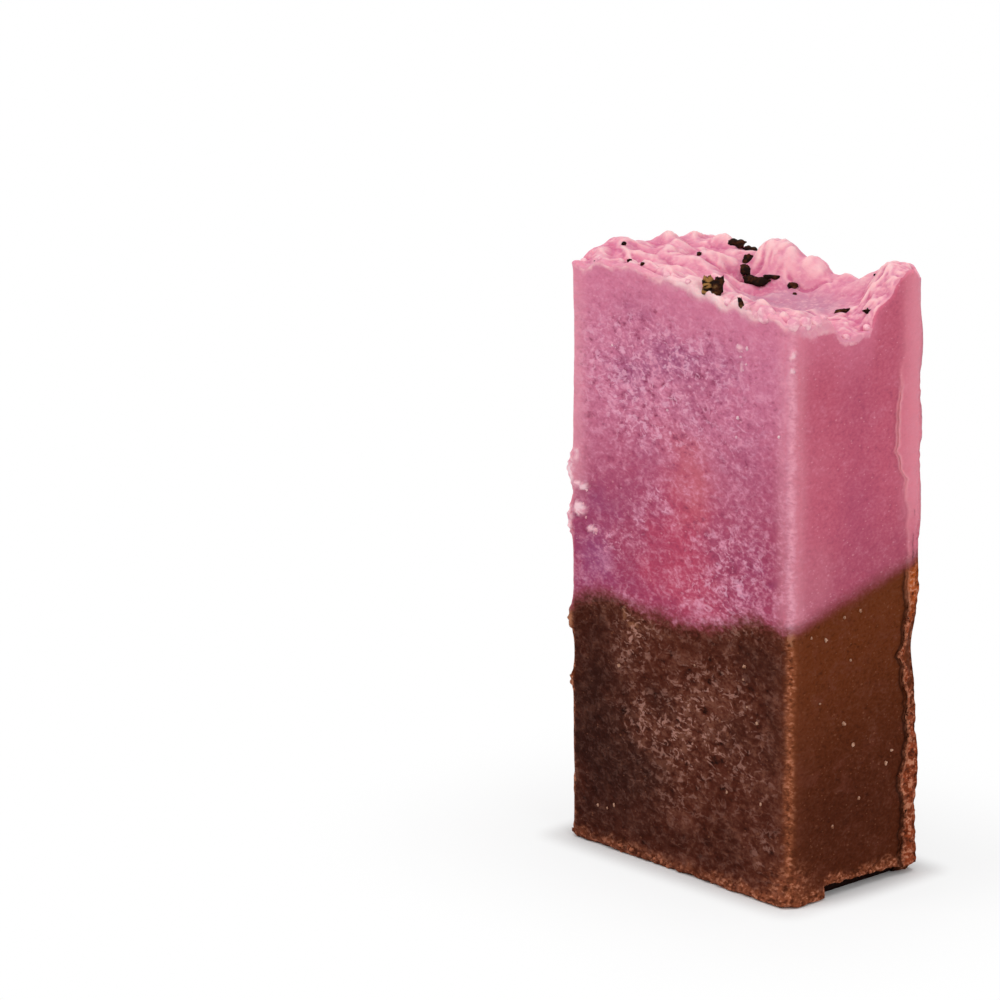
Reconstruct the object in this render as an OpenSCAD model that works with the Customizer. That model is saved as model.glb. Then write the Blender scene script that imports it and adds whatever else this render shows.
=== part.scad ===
// Hand-cut bar of two-pour soap, standing on end.
// A brown first pour carries a pink second pour. Dried leaf flakes are pressed in the rough poured top.
// Origin at the middle of the flat base. +Z up, the wide cut faces look along Y, the narrow faces along X.

/* [Bar] */
// Width of the wide cut faces
bar_w = 46.2; // [38:0.2:54]
// Depth between the two wide cut faces
bar_d = 26.3; // [22:0.1:34]
// Height of the bar at the level of its poured top
bar_h = 88; // [74:1:106]

/* [Edges] */
// Size of the worn upright edges, round except for the flat bevel at the front right
edge_r = 1.5; // [1.1:0.1:2.2]
// Size of the soft rim where the poured top turns down into the cut faces
rim_r = 0.5; // [0.3:0.1:0.8]
// Size of the crumbled bottom edges
crumble = 0.6; // [0.3:0.1:1]
// Height of the hollow under the bottom edge of the narrow right face
undercut = 1; // [0.5:0.1:1.8]

/* [Cut faces] */
// Depth of the slow waves that the cutting wire left
drag = 0.16; // [0.06:0.02:0.3]
// Height of one such wave
drag_pitch = 23; // [14:1:34]
// Thickness of the burr that stands along the back edge of the narrow right face
burr_t = 0.45; // [0.25:0.05:0.8]
// Mean width of that burr
burr_w = 2.9; // [2.4:0.1:4]
// How far the ragged inner edge of the burr wanders
burr_rag = 0.5; // [0.2:0.1:0.8]
// Depth of the long bite out of the burr and its corner
bite = 1.1; // [0.3:0.1:1.4]
// How far the largest lump on the front left edge stands out
lump = 0.9; // [0.3:0.1:1.4]

/* [Pours] */
// Height of the seam between the pours at the middle of the bar
seam_h = 42.4; // [30:0.2:56]
// Rise of the seam across the width
seam_rise_w = 5; // [0:0.5:9]
// Rise of the seam from the front to the back
seam_rise_d = 6.4; // [0:0.2:9]
// Height of the waves in the seam
seam_wave = 0.8; // [0:0.1:1.6]

/* [Poured top] */
// Size across of the humps and hollows against the ones in the bar that this follows
relief_size = 1; // [0.85:0.05:1.15]
// Depth of the broad hollow in the middle
hollow_depth = 3.6; // [1.5:0.1:5.5]
// Further depth of the notch where the hollow opens on the narrow right face
notch_depth = 3.9; // [2:0.1:6]
// Height of the peak at the back right corner
peak_h = 4.2; // [1:0.1:6]
// Height of the round blob at the back
blob_h = 3.6; // [1:0.1:5.5]
// Height of the long ridge on the front rim
ridge_h = 2.2; // [0.4:0.1:3]
// Height of the humps on the left rim
hump_h = 2; // [0.4:0.1:3]
// Height of the small beads strung along the rim
bead_h = 0.8; // [0.2:0.1:1.4]
// Height of the fine ripple all over the top
ripple_h = 0.28; // [0.1:0.02:0.5]

/* [Flakes] */
// Thickness of a dried flake
flake_t = 0.5; // [0.3:0.05:0.8]
// Size of the flakes against the ones in the bar that this follows
flake_size = 1; // [0.7:0.05:1.3]
// How far the middle of a level flake lies above the soap
flake_lift = 0.15; // [0:0.05:0.3]
// Share of a tilted flake's half height that stands clear of the soap
flake_show = 0.5; // [0.2:0.05:0.7]

/* [Hidden] */

// Size of the grid cells of the poured top, and of those in its worn corners
cell = 0.82;
corner_cell = 0.375;
// Grid cells of the poured top across the width, across the depth and in each worn corner
cells_w = even(bar_w / cell);
cells_d = even(bar_d / cell);
corner_cells = even(edge_r / corner_cell);
// Points on the border of the poured top, and border points from one wall column to the next
border = 2 * (cells_w + cells_d);
stride = 2;
columns = border / stride;
// Levels up each pour
base_levels = 16;
top_levels = 18;

// Width of the step at the inner edge of the burr
burr_step = 0.3;
// How far the bite and the lumps reach from their corners, counted in the size of the worn edge
corner_reach = 1.4;
// How far a crumbled bottom edge runs in under the bar, counted in its height
crumble_run = 1.2;
// Share of the outline at which the seam's inner ring lies
seam_ring = 0.55;

// Power that rounds the crown of each form in the poured top and steepens its sides
mound = 1.3;

// Wide tabs of the burr: share of the bar's height, half height, reach
BURR_TABS = [
    [0.77, 6, 2.2],
    [0.385, 1.8, 1.5],
    [0.17, 3, 1]
];

// Bite out of the burr and its corner: share of the bar's height, half height
BITE_AT = [0.38, 7];

// Lumps of soap left on the front left edge: share of the bar's height, half height, reach
LUMPS = [
    [0.645, 2.6, 0.9 * lump],
    [0.56, 2.6, 0.85 * lump],
    [0.39, 2.2, lump],
    [0.28, 1.6, 0.5 * lump]
];

// Relief of the poured top: place as shares of the half width and half depth, two radii, height
RELIEF = [
    [0.3, 0.2, 13, 9, -hollow_depth],
    [-0.14, 0.34, 3.5, 3, -0.4 * hollow_depth],
    [1, -0.03, 6.5, 5, -notch_depth],
    [0.88, 0.85, 4.8, 3.9, peak_h],
    [0.62, 0.95, 2.6, 2.4, 0.3 * peak_h],
    [0.4, 0.96, 4, 2.6, 0.15 * peak_h],
    [-0.17, 0.8, 3.2, 3.6, blob_h],
    [0, 0.84, 2.4, 3, 0.45 * blob_h],
    [0.13, 0.9, 1.9, 2.2, 0.35 * blob_h],
    [-0.4, -0.95, 12, 4, ridge_h],
    [0.22, -0.9, 9, 4, 0.3 * ridge_h],
    [1, -0.9, 7, 6, -0.5 * ridge_h],
    [-0.95, -0.33, 5, 4.8, hump_h],
    [-0.95, 0.4, 4, 3, 0.6 * hump_h],
    [-0.55, 0, 6, 4, 0.5 * hump_h],
    [-0.82, 0.97, 3.2, 3, 0.35 * hump_h],
    [0.9, 0, 2, 2, bead_h],
    [0.08, -0.92, 1.8, 1.5, 0.6 * bead_h],
    [0.47, -0.88, 1.5, 1.5, bead_h],
    [0.6, -0.8, 1.3, 1.3, bead_h],
    [0.74, -0.88, 1.5, 1.5, bead_h],
    [0.9, -0.86, 1.4, 1.4, bead_h],
    [0.97, -0.56, 1.7, 1.7, 0.6 * bead_h],
    [-0.62, 0.9, 2, 1.7, bead_h],
    [-1, -1, 3, 3, -0.3 * hump_h],
    [1, 1, 1.8, 1.8, -0.4 * peak_h]
];

// Flakes: place as shares of the half width and half depth, length, width, turn, tilt
FLAKES = [
    [0.22, -0.9, 1.9, 3.8, 50, 60],
    [0.27, -0.82, 1.9, 3.9, 44, 64],
    [-0.58, 0.86, 2.8, 1.7, 30, 28],
    [-0.49, 0.9, 2.4, 1.6, 15, 32],
    [-0.34, 0.62, 1.9, 1.8, 47, 50],
    [-0.28, 0.46, 1.2, 1.8, 60, 30],
    [-0.15, 0.43, 4.4, 1.7, 14, 24],
    [-0.03, 0.56, 3, 0.8, 35, 10],
    [0.07, 0.57, 1.6, 1.1, 47, 30],
    [0.5, -0.9, 0.8, 2.3, 60, 55],
    [0.72, 0.25, 3, 0.9, 42, 20],
    [0.92, 0.24, 1.3, 1.5, 47, 40],
    [-0.52, 0.17, 1.1, 1.2, 47, 40],
    [-0.89, -0.36, 1.1, 1.1, 30, 40],
    [-0.61, -0.74, 1.2, 1, 60, 40],
    [-0.42, -0.83, 1, 0.9, 30, 40],
    [0.14, 0.5, 1, 0.7, 20, 20],
    [0.66, 0.8, 1.5, 0.7, 65, 30]
];

// Outline of a flake, one long and one wide
LEAF = [[-0.5, -0.2], [-0.24, -0.5], [0.36, -0.42], [0.5, -0.04], [0.4, 0.4], [0.02, 0.5], [-0.42, 0.34]];

function mix(a, b, t) = a + (b - a) * t;

function bump(x) = exp(-x * x);

function even(x) = 2 * round(x / 2);

function total(values) = len(values) == 0 ? 0 : values * [for (v = values) 1];

// A grid line's distance from the middle, with close lines in the worn corners
function grid_line(i, cells, half) =
    i < corner_cells ? -half + edge_r * i / corner_cells
  : i > cells - corner_cells ? half - edge_r * (cells - i) / corner_cells
  : mix(edge_r - half, half - edge_r, (i - corner_cells) / (cells - 2 * corner_cells));

// How far a square corner is drawn in, to a round edge or to a flat bevel
function corner_pull(a, b, flat) = max(a, b) / (flat ? a + b : norm([a, b]));

// How far a place on the grid lies inside the two edges of the nearest corner
function past_edges(p, inset) = [
    max(0, abs(p[0]) - bar_w / 2 + inset + edge_r),
    max(0, abs(p[1]) - bar_d / 2 + inset + edge_r)
];

// Plan position of a grid point, with the outline drawn in by an inset
function plan(i, j, inset) =
    let (
        p = [grid_line(i, cells_w, bar_w / 2 - inset), grid_line(j, cells_d, bar_d / 2 - inset)],
        reach = past_edges(p, inset),
        flat = p[0] > 0 && p[1] < 0,
        pull = min(reach) > 0 ? corner_pull(reach[0], reach[1], flat) : 1
    )
    [for (a = [0, 1]) p[a] - sign(p[a]) * reach[a] * (1 - pull)];

// Direction that the wall faces at a grid point on the outline
function facing(i, j) =
    let (
        p = [grid_line(i, cells_w, bar_w / 2), grid_line(j, cells_d, bar_d / 2)],
        reach = past_edges(p, 0)
    )
    [sign(p[0]) * reach[0], sign(p[1]) * reach[1]] / norm(reach);

// Grid point of each border point, counted round the outline from the front left
function border_cell(k) =
    k < cells_w ? [k, 0]
  : k < cells_w + cells_d ? [cells_w, k - cells_w]
  : k < 2 * cells_w + cells_d ? [2 * cells_w + cells_d - k, cells_d]
  : [0, border - k];

// Grid point at the head of each wall column
function column_cell(k) = border_cell(k * stride);

// Height of the seam at a plan position
function seam_at(p) =
    seam_h + seam_rise_w * p[0] / bar_w + seam_rise_d * p[1] / bar_d
    + seam_wave * cos(360 * (1.5 * p[0] / bar_w + 0.4));

// How far a plan position lies from a form of the relief, counted in that form's radii
function away(p, form) =
    norm([(p[0] - form[0] * bar_w / 2) / form[2], (p[1] - form[1] * bar_d / 2) / form[3]]) / relief_size;

// Fine ripple of the poured top, which dies out in the smooth pool of the broad hollow
function ripple(p) =
    let (x = p[0] / relief_size, y = p[1] / relief_size)
    ripple_h * (1 - 0.8 * bump(away(p, RELIEF[0])))
    * (sin(62 * x + 55 * sin(47 * y)) + sin(74 * y + 60 * sin(53 * x) + 80));

// Height of the poured top at a plan position
function top_at(p) =
    bar_h + ripple(p)
    + total([for (form = RELIEF) form[4] * bump(pow(away(p, form), mound))]);

// Distance from the back face to the inner edge of the burr
function burr_edge(z) =
    burr_w + burr_rag * (0.6 * sin(360 * z / 17) + 0.4 * sin(360 * z / 7.3 + 50))
    + total([for (t = BURR_TABS) t[2] * bump((z - t[0] * bar_h) / t[1])]);

// Plan position of a wall column at a height, with the right face's columns spread up to the burr
function column(c, z) =
    let (
        p = plan(c[0], c[1], 0),
        first = corner_cells,
        last = cells_d - corner_cells,
        inner = bar_d / 2 - burr_edge(z)
    )
    c[0] < cells_w || c[1] <= first || c[1] > last ? p
  : c[1] == last ? [p[0], inner + burr_step / 2]
  : [p[0], mix(edge_r - bar_d / 2, inner - burr_step / 2, (c[1] - first) / (last - first - stride))];

// How far the wall stands out from its plan outline at a height
function stand_out(c, z) =
    let (
        p = plan(c[0], c[1], 0),
        on_burr = c[0] == cells_w && c[1] >= cells_d - corner_cells,
        from_burr = norm([p[0] - bar_w / 2, p[1] - bar_d / 2]),
        from_lumps = norm([p[0] + bar_w / 2, p[1] + bar_d / 2])
    )
    drag * sin(360 * z / drag_pitch + 9 * p[0]) * cos(5 * p[1])
    + (on_burr ? burr_t * (0.8 + 0.2 * sin(360 * z / 13)) : 0)
    - bite * bump((z - BITE_AT[0] * bar_h) / BITE_AT[1]) * bump(from_burr / (corner_reach * edge_r))
    + total([for (form = LUMPS) form[2] * bump((z - form[0] * bar_h) / form[1])])
    * bump(from_lumps / (corner_reach * edge_r));

function wall(c, z, inset) =
    let (p = column(c, z) + (stand_out(c, z) - inset) * facing(c[0], c[1]))
    [p[0], p[1], z];

// Height up to which the bottom edge has crumbled away at a column
function foot(k, c) =
    let (p = plan(c[0], c[1], 0))
    crumble * (0.6 + 0.4 * sin(137 * k))
    + (c[0] == cells_w ? undercut * (1 - bump((bar_d / 2 - abs(p[1])) / 2.5)) : 0);

// Points of one level of the first pour. Level 0 is the flat base and the last is the seam.
function base_ring(level) = [
    for (k = [0 : columns - 1])
        let (c = column_cell(k), up = foot(k, c), seam = seam_at(plan(c[0], c[1], 0)))
        level == 0 ? wall(c, 0, crumble_run * up)
      : wall(c, mix(up, seam, (level - 1) / (base_levels - 1)), 0)
];

// Points of one level of the second pour, from the seam up to the rim
function top_ring(level) = [
    for (k = [0 : columns - 1])
        let (c = column_cell(k), p = plan(c[0], c[1], 0))
        wall(c, mix(seam_at(p), top_at(plan(c[0], c[1], rim_r)) - rim_r, level / top_levels), 0)
];

// Points inside the outline of the seam
function seam_inner() = [
    for (k = [0 : columns - 1])
        let (c = column_cell(k), p = seam_ring * plan(c[0], c[1], 0))
        [p[0], p[1], seam_at(p)]
];

// Points of the poured top
function top_grid() = [
    for (j = [0 : cells_d], i = [0 : cells_w])
        let (p = plan(i, j, rim_r))
        [p[0], p[1], top_at(p)]
];

// Triangles between two rings of columns that start at points a and b, b being the upper or outer one
function band(a, b) = [
    for (k = [0 : columns - 1])
        let (next = (k + 1) % columns)
        each [[a + k, b + k, b + next], [a + k, b + next, a + next]]
];

// Triangles from a ring to one point
function fan(ring, centre) = [for (k = [0 : columns - 1]) [ring + k, centre, ring + (k + 1) % columns]];

function turned(faces) = [for (f = faces) [f[2], f[1], f[0]]];

// Index of a point of the poured top
function grid_index(start, c) = start + c[1] * (cells_w + 1) + c[0];

// Triangles from the rim of the wall on to the border of the poured top, which has twice as many points
function rim_faces(ring, grid) = [
    for (k = [0 : columns - 1])
        let (
            next = (k + 1) % columns,
            a = grid_index(grid, column_cell(k)),
            b = grid_index(grid, border_cell(k * stride + 1)),
            c = grid_index(grid, column_cell(next))
        )
        each [[ring + k, a, b], [ring + k, b, ring + next], [ring + next, b, c]]
];

// Triangles of the poured top, with the diagonals turned from cell to cell
function grid_faces(grid) = [
    for (j = [0 : cells_d - 1], i = [0 : cells_w - 1])
        let (
            a = grid_index(grid, [i, j]),
            b = grid_index(grid, [i + 1, j]),
            c = grid_index(grid, [i + 1, j + 1]),
            d = grid_index(grid, [i, j + 1])
        )
        each ((i + j) % 2 == 0 ? [[a, c, b], [a, d, c]] : [[a, d, b], [b, d, c]])
];

module base_layer() {
    rings = [for (level = [0 : base_levels]) each base_ring(level)];
    inner = len(rings);
    points = concat(rings, seam_inner(), [[0, 0, seam_at([0, 0])], [0, 0, 0]]);
    seam_centre = inner + columns;
    color([0.33, 0.17, 0.11])
        polyhedron(
            points,
            concat(
                [for (level = [0 : base_levels - 1]) each band(level * columns, (level + 1) * columns)],
                band(base_levels * columns, inner),
                fan(inner, seam_centre),
                turned(fan(0, seam_centre + 1))
            )
        );
}

module top_layer() {
    rings = [for (level = [0 : top_levels]) each top_ring(level)];
    inner = len(rings);
    seam_centre = inner + columns;
    grid = seam_centre + 1;
    points = concat(rings, seam_inner(), [[0, 0, seam_at([0, 0])]], top_grid());
    color([0.75, 0.42, 0.53])
        difference() {
            polyhedron(
                points,
                concat(
                    [for (level = [0 : top_levels - 1]) each band(level * columns, (level + 1) * columns)],
                    rim_faces(top_levels * columns, grid),
                    grid_faces(grid),
                    turned(band(0, inner)),
                    turned(fan(inner, seam_centre))
                )
            );
            flakes();
        }
}

// One dried flake, folded along a raised rib
module flake(length, width) {
    hull() {
        linear_extrude(flake_t, center = true)
            scale([length, width])
                polygon(LEAF);
        translate([0, 0, flake_t / 2])
            cube([0.5 * length, 0.25 * width, flake_t], center = true);
    }
}

// The flakes, each seated at the height of the soap under it and sunk part of its way in
module flakes() {
    for (f = FLAKES) {
        p = [f[0] * bar_w / 2, f[1] * bar_d / 2];
        half_height = f[3] * flake_size * sin(f[5]) / 2;
        translate([p[0], p[1], top_at(p) + flake_lift + flake_show * half_height])
            rotate([f[5], 0, f[4]])
                flake(f[2] * flake_size, f[3] * flake_size);
    }
}

module dried_flakes() {
    color([0.15, 0.08, 0.06])
        flakes();
}

base_layer();
top_layer();
dried_flakes();
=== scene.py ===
"""Looks of one hand-cut bar of two-pour soap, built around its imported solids.

Lengths in the tables and shape functions are millimetres in the row frame, and become metres when a mesh is made.
"""

import itertools
import math

import bpy
import numpy as np
from mathutils import Matrix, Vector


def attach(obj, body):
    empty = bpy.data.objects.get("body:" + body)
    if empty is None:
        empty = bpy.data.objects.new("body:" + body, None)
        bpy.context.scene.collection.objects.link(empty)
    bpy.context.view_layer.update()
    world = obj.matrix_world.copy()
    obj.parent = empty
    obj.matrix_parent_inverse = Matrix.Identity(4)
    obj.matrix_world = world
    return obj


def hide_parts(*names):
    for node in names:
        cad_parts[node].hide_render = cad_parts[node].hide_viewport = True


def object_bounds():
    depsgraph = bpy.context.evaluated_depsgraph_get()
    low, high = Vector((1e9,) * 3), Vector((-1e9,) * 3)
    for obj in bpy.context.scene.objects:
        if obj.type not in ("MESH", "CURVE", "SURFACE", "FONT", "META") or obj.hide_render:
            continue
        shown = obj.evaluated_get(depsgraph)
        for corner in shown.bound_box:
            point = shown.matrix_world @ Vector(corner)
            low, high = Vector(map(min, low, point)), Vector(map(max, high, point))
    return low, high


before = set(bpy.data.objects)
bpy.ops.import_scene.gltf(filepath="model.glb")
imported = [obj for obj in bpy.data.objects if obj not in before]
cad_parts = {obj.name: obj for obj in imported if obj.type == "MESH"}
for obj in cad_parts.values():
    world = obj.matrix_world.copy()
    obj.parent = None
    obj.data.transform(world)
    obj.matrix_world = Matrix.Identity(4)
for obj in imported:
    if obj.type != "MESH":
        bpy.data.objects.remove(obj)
cad_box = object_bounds()
MM = 0.001

BAR_W, BAR_D, BAR_H = 46.2, 26.3, 88.0
HALF_W, HALF_D = BAR_W / 2, BAR_D / 2
EDGE_R, RIM_R = 1.5, 0.5
CRUMBLE, UNDERCUT, CRUMBLE_RUN = 0.6, 1.0, 1.2
DRAG, DRAG_PITCH = 0.16, 23.0
BURR_T = 0.45
BITE, CORNER_REACH = 1.1, 1.4
SEAM_H, SEAM_RISE_W, SEAM_RISE_D, SEAM_WAVE = 42.4, 5.0, 6.4, 0.8
HOLLOW, NOTCH, PEAK, BLOB, RIDGE, HUMP, BEAD = 3.6, 3.9, 4.2, 3.6, 2.2, 2.0, 0.8
RIPPLE, MOUND = 0.28, 1.3
FLAKE_T, FLAKE_SINK, FLAKE_FRONT = 0.5, 0.05, -12.7

# The bite out of the burr, and the lumps on the front left edge: height, half height, reach
BITE_AT = (33.4, 7)
LUMPS = [(56.8, 2.6, 0.81), (49.3, 2.6, 0.765), (34.3, 2.2, 0.9), (24.6, 1.6, 0.45)]

# Relief of the poured top: place as shares of the half width and half depth, two radii, height
RELIEF = [
    (0.3, 0.2, 13, 9, -HOLLOW),
    (-0.14, 0.34, 3.5, 3, -0.4 * HOLLOW),
    (1, -0.03, 6.5, 5, -NOTCH),
    (0.88, 0.85, 4.8, 3.9, PEAK),
    (0.62, 0.95, 2.6, 2.4, 0.3 * PEAK),
    (0.4, 0.96, 4, 2.6, 0.15 * PEAK),
    (-0.17, 0.8, 3.2, 3.6, BLOB),
    (0, 0.84, 2.4, 3, 0.45 * BLOB),
    (0.13, 0.9, 1.9, 2.2, 0.35 * BLOB),
    (-0.4, -0.95, 12, 4, RIDGE),
    (0.22, -0.9, 9, 4, 0.3 * RIDGE),
    (1, -0.9, 7, 6, -0.5 * RIDGE),
    (-0.95, -0.33, 5, 4.8, HUMP),
    (-0.95, 0.4, 4, 3, 0.6 * HUMP),
    (-0.55, 0, 6, 4, 0.5 * HUMP),
    (-0.82, 0.97, 3.2, 3, 0.35 * HUMP),
    (0.9, 0, 2, 2, BEAD),
    (0.08, -0.92, 1.8, 1.5, 0.6 * BEAD),
    (0.47, -0.88, 1.5, 1.5, BEAD),
    (0.6, -0.8, 1.3, 1.3, BEAD),
    (0.74, -0.88, 1.5, 1.5, BEAD),
    (0.9, -0.86, 1.4, 1.4, BEAD),
    (0.97, -0.56, 1.7, 1.7, 0.6 * BEAD),
    (-0.62, 0.9, 2, 1.7, BEAD),
    (-1, -1, 3, 3, -0.3 * HUMP),
    (1, 1, 1.8, 1.8, -0.4 * PEAK),
]

# Small lumps and pits of the poured top: place, two radii, height
TOP_FORMS = [
    (-18.5, 3, 2.8, 2.3, 1.1), (-10.7, 3.9, 2.9, 2.3, 0.9), (3, 11.2, 1.9, 1.6, 0.9), (-0.9, 8.2, 2, 1.3, 0.5),
    (14.6, 2, 3.2, 2.4, 0.5), (19.6, -7, 2.6, 2.2, 0.5), (18.9, 7.2, 1.3, 1.2, 0.6), (20.4, 2.2, 2.2, 1.8, 0.5),
    (-9, -1.4, 2.2, 1.4, -0.6), (-6.5, 5.1, 1.7, 1.1, -0.8), (-15, -1, 1.8, 1.5, 0.5), (-20.8, -2.5, 1.5, 1.4, 0.4),
    (22.6, 5.6, 2.4, 2.4, 1.5), (22.6, 8.6, 2, 2, 0.5), (20, -12.6, 2.6, 1.6, 0.7), (10.6, -11, 1.1, 0.9, 0.5),
    (20, -12.4, 1, 0.9, 0.5), (6, -8.5, 2, 1.2, 0.4), (-21, 9.5, 1.5, 1.5, 0.5), (-16.5, 11.5, 1.6, 1.3, 0.5),
]

# Creases and ridges of the poured top: height, half width, course
CREASES = [
    (-0.6, 0.4, [(-18, -8), (-15, -9.6), (-11, -11.4), (-4, -12.7)]),
    (0.4, 0.5, [(-19, -5.6), (-15, -7.4), (-10, -10), (-4, -11.2), (1, -12)]),
    (-0.5, 0.45, [(-10, 2), (-6.6, 4), (-4.4, 6.8), (-4.8, 9.5)]),
    (-0.45, 0.5, [(-14.6, 7), (-13.8, 3), (-15, -1)]),
    (0.4, 0.6, [(-6, -0.4), (-1.6, -0.6), (3, -3.5), (8, -8)]),
    (-0.35, 0.4, [(1, 8.4), (4.6, 8.8), (7, 11)]),
    (0.45, 0.5, [(17.6, 4.8), (18.9, 6.8), (20, 9)]),
    (-0.3, 0.4, [(12.6, 0.2), (15, -0.6), (17.8, 1.4)]),
]

# Flakes: place as shares of the half width and half depth, length, width, turn, tilt, share that stands out, outline
FLAKES = [
    (0.22, -0.95, 2.0, 3.5, 50, 58, 0.5, "left_lobe"),
    (0.285, -0.91, 2.0, 3.7, 44, 62, 0.5, "right_lobe"),
    (-0.59, 0.88, 2.9, 1.8, 32, 30, 0.4, "block"),
    (-0.5, 0.94, 2.4, 1.7, 15, 32, 0.4, "block"),
    (-0.33, 0.63, 1.9, 2.1, 47, 50, 0.3, "blob"),
    (-0.27, 0.48, 1.7, 2.3, 60, 40, 0.3, "blob"),
    (-0.15, 0.44, 4.6, 2.2, 18, 34, 0.3, "long"),
    (-0.06, 0.54, 3.0, 0.9, 32, 14, 0.3, "long"),
    (0.09, 0.59, 1.6, 1.2, 47, 30, 0.3, "blob"),
    (0.545, -0.99, 0.9, 2.7, 62, 60, -0.2, "rod"),
    (0.72, 0.29, 3, 1.1, 42, 26, 0.2, "twig"),
    (0.91, 0.3, 1.5, 1.5, 47, 40, 0.3, "star"),
    (-0.51, 0.17, 1.1, 1.2, 47, 40, 0.3, "speck"),
    (-0.87, -0.38, 1.1, 1.1, 30, 40, 0.3, "speck"),
    (-0.6, -0.75, 1.2, 1, 60, 40, 0.3, "speck"),
    (-0.42, -0.85, 1, 0.9, 30, 40, 0.3, "speck"),
    (0.16, 0.5, 0.9, 0.7, 20, 20, 0.3, "speck"),
    (0.69, 0.84, 1.3, 0.7, 65, 40, 0.5, "rod"),
    (-0.74, -0.96, 0.7, 0.6, 50, 40, 0.2, "speck"),
    (-0.775, -0.97, 0.6, 1.1, 66, 50, 0, "rod"),
]

# Outlines of flakes, one long and one wide, as seen from the front right
OUTLINES = {
    "left_lobe": [
        (-0.46, -0.46), (-0.26, -0.36), (-0.08, -0.44), (0.16, -0.36), (0.4, -0.42), (0.46, -0.12), (0.36, 0.06),
        (0.46, 0.26), (0.24, 0.44), (0, 0.38), (-0.22, 0.44), (-0.4, 0.2), (-0.34, -0.04), (-0.44, -0.22),
    ],
    "right_lobe": [
        (-0.42, 0.02), (-0.46, 0.26), (-0.2, 0.34), (-0.12, 0.46), (0.16, 0.4), (0.4, 0.5), (0.5, 0.28), (0.38, 0.08),
        (0.44, -0.14), (0.26, -0.26), (0.28, -0.44), (0.02, -0.4), (-0.12, -0.54), (-0.26, -0.38), (-0.46, -0.3),
    ],
    "block": [
        (-0.5, -0.3), (-0.42, 0.36), (-0.16, 0.5), (0.08, 0.34), (0.3, 0.46), (0.5, 0.2), (0.44, -0.4), (0.2, -0.5),
        (0, -0.3), (-0.24, -0.46),
    ],
    "blob": [
        (-0.5, -0.1), (-0.34, 0.4), (0.04, 0.5), (0.42, 0.3), (0.5, -0.16), (0.2, -0.5), (-0.1, -0.34),
        (-0.36, -0.46),
    ],
    "long": [
        (-0.5, 0.12), (-0.3, 0.4), (0, 0.24), (0.26, 0.32), (0.5, 0.14), (0.34, -0.34), (0.14, -0.5), (-0.1, -0.34),
        (-0.32, -0.42),
    ],
    "rod": [(-0.42, 0.5), (-0.5, 0.1), (-0.2, -0.42), (0.3, -0.5), (0.5, -0.3), (0.34, 0.2), (0.1, 0.5)],
    "twig": [
        (-0.5, -0.5), (-0.44, 0), (-0.2, 0.02), (-0.08, 0.36), (0.04, 0.1), (0.26, 0.2), (0.32, 0.5), (0.5, 0.3),
        (0.46, -0.2), (0.2, -0.3), (-0.2, -0.4),
    ],
    "star": [(-0.5, 0.1), (-0.14, 0.16), (0, 0.5), (0.16, 0.14), (0.5, 0.2), (0.2, -0.12), (0.1, -0.5), (-0.12, -0.18)],
    "speck": [(-0.4, -0.3), (-0.36, 0.26), (0.04, 0.4), (0.4, 0.2), (0.34, -0.22), (0, -0.4)],
}

# Strength of the burr's lip up its height: 1 is a crisp ragged lip and 0 a soft swelling
BURR_CRISP = [(0, 1), (44, 1), (49, 0.35), (57, 0.35), (61, 0.75), (73, 0.75), (78, 0.1), (95, 0)]

# Mesh of the skins: cells across the width, across the depth and in each worn corner, and levels up each pour
CELLS_W, CELLS_D, CORNER_CELLS = 250, 146, 12
TOP_LEVELS, RIM_LEVELS, BASE_LEVELS = 124, 5, 150
BORDER = 2 * (CELLS_W + CELLS_D)
COLUMNS = BORDER // 2

# Section of the burr's ragged edge: distance past its inner edge, height as a share of its thickness
LIP = [(-0.5, 0), (-0.12, -0.25), (0.3, -0.2), (0.26, 0.3), (0.02, 0.55), (0, 0.85), (0.22, 1.05)]
# The same section where the burr is only a soft swelling
SOFT_LIP = [(-1.6, 0), (-1.1, 0.1), (-0.6, 0.24), (-0.2, 0.42), (0.2, 0.6), (0.6, 0.8), (1, 0.95)]
# Columns between that section and the back corner
LIP_TOP = 4
# Levels over which the fine relief of a wall fades out towards the seam
FADE = 8

# Section of the crumbled foot: share of its height, how far in it lies on the worn edges and in the hollow
FOOT = [(0, 1, 1.15), (0.4, 0.8, 1.12), (0.8, 0.35, 1), (0.97, 0.06, 0.5)]

# Width of the burr up its height: height, distance from the back face to its inner edge
BURR_EDGE = [
    (0, 3), (6, 3), (10, 2.8), (12, 3.1), (14, 3.8), (16, 3.6), (18, 2.7), (20, 2.1), (24, 2.5), (28, 2.4),
    (30, 3.3), (32, 2.8), (33.9, 4.5), (36, 3.2), (40, 2.7), (50, 2.5), (56, 2.7), (60, 3.3), (63, 4.5),
    (66, 5.2), (70, 4.9), (74, 4.3), (80, 3.8), (95, 3.6),
]

# Fields of colour on the front face: across, up, two radii, amount. Plus is crimson and minus is purple.
HUES = [
    (0, 52, 9, 6, 0.8), (-1, 44.5, 10, 4.5, 0.8), (-1.3, 72, 6, 1.6, 0.5), (-3.4, 66.8, 7, 2.6, 0.5),
    (2, 60, 8, 6, 0.5), (-17, 44, 7, 5, -0.9), (-16, 52.5, 7, 4, -0.5), (-9, 76, 9, 6, -0.55),
    (3, 78, 9, 5, -0.5), (14.5, 49, 7, 7, -0.5), (19, 66, 4, 10, 0.25), (6, 41, 9, 3, 0.4),
    (-21, 70, 2.5, 12, 0.3), (-12, 62, 8, 3, 0.2),
]

# Warm salmon fields on the front face
SALMON = [(2.8, 61, 4.6, 4.8, 0.7), (3.5, 56, 3, 3, 0.3), (1, 66, 6, 2.5, 0.3)]

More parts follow.
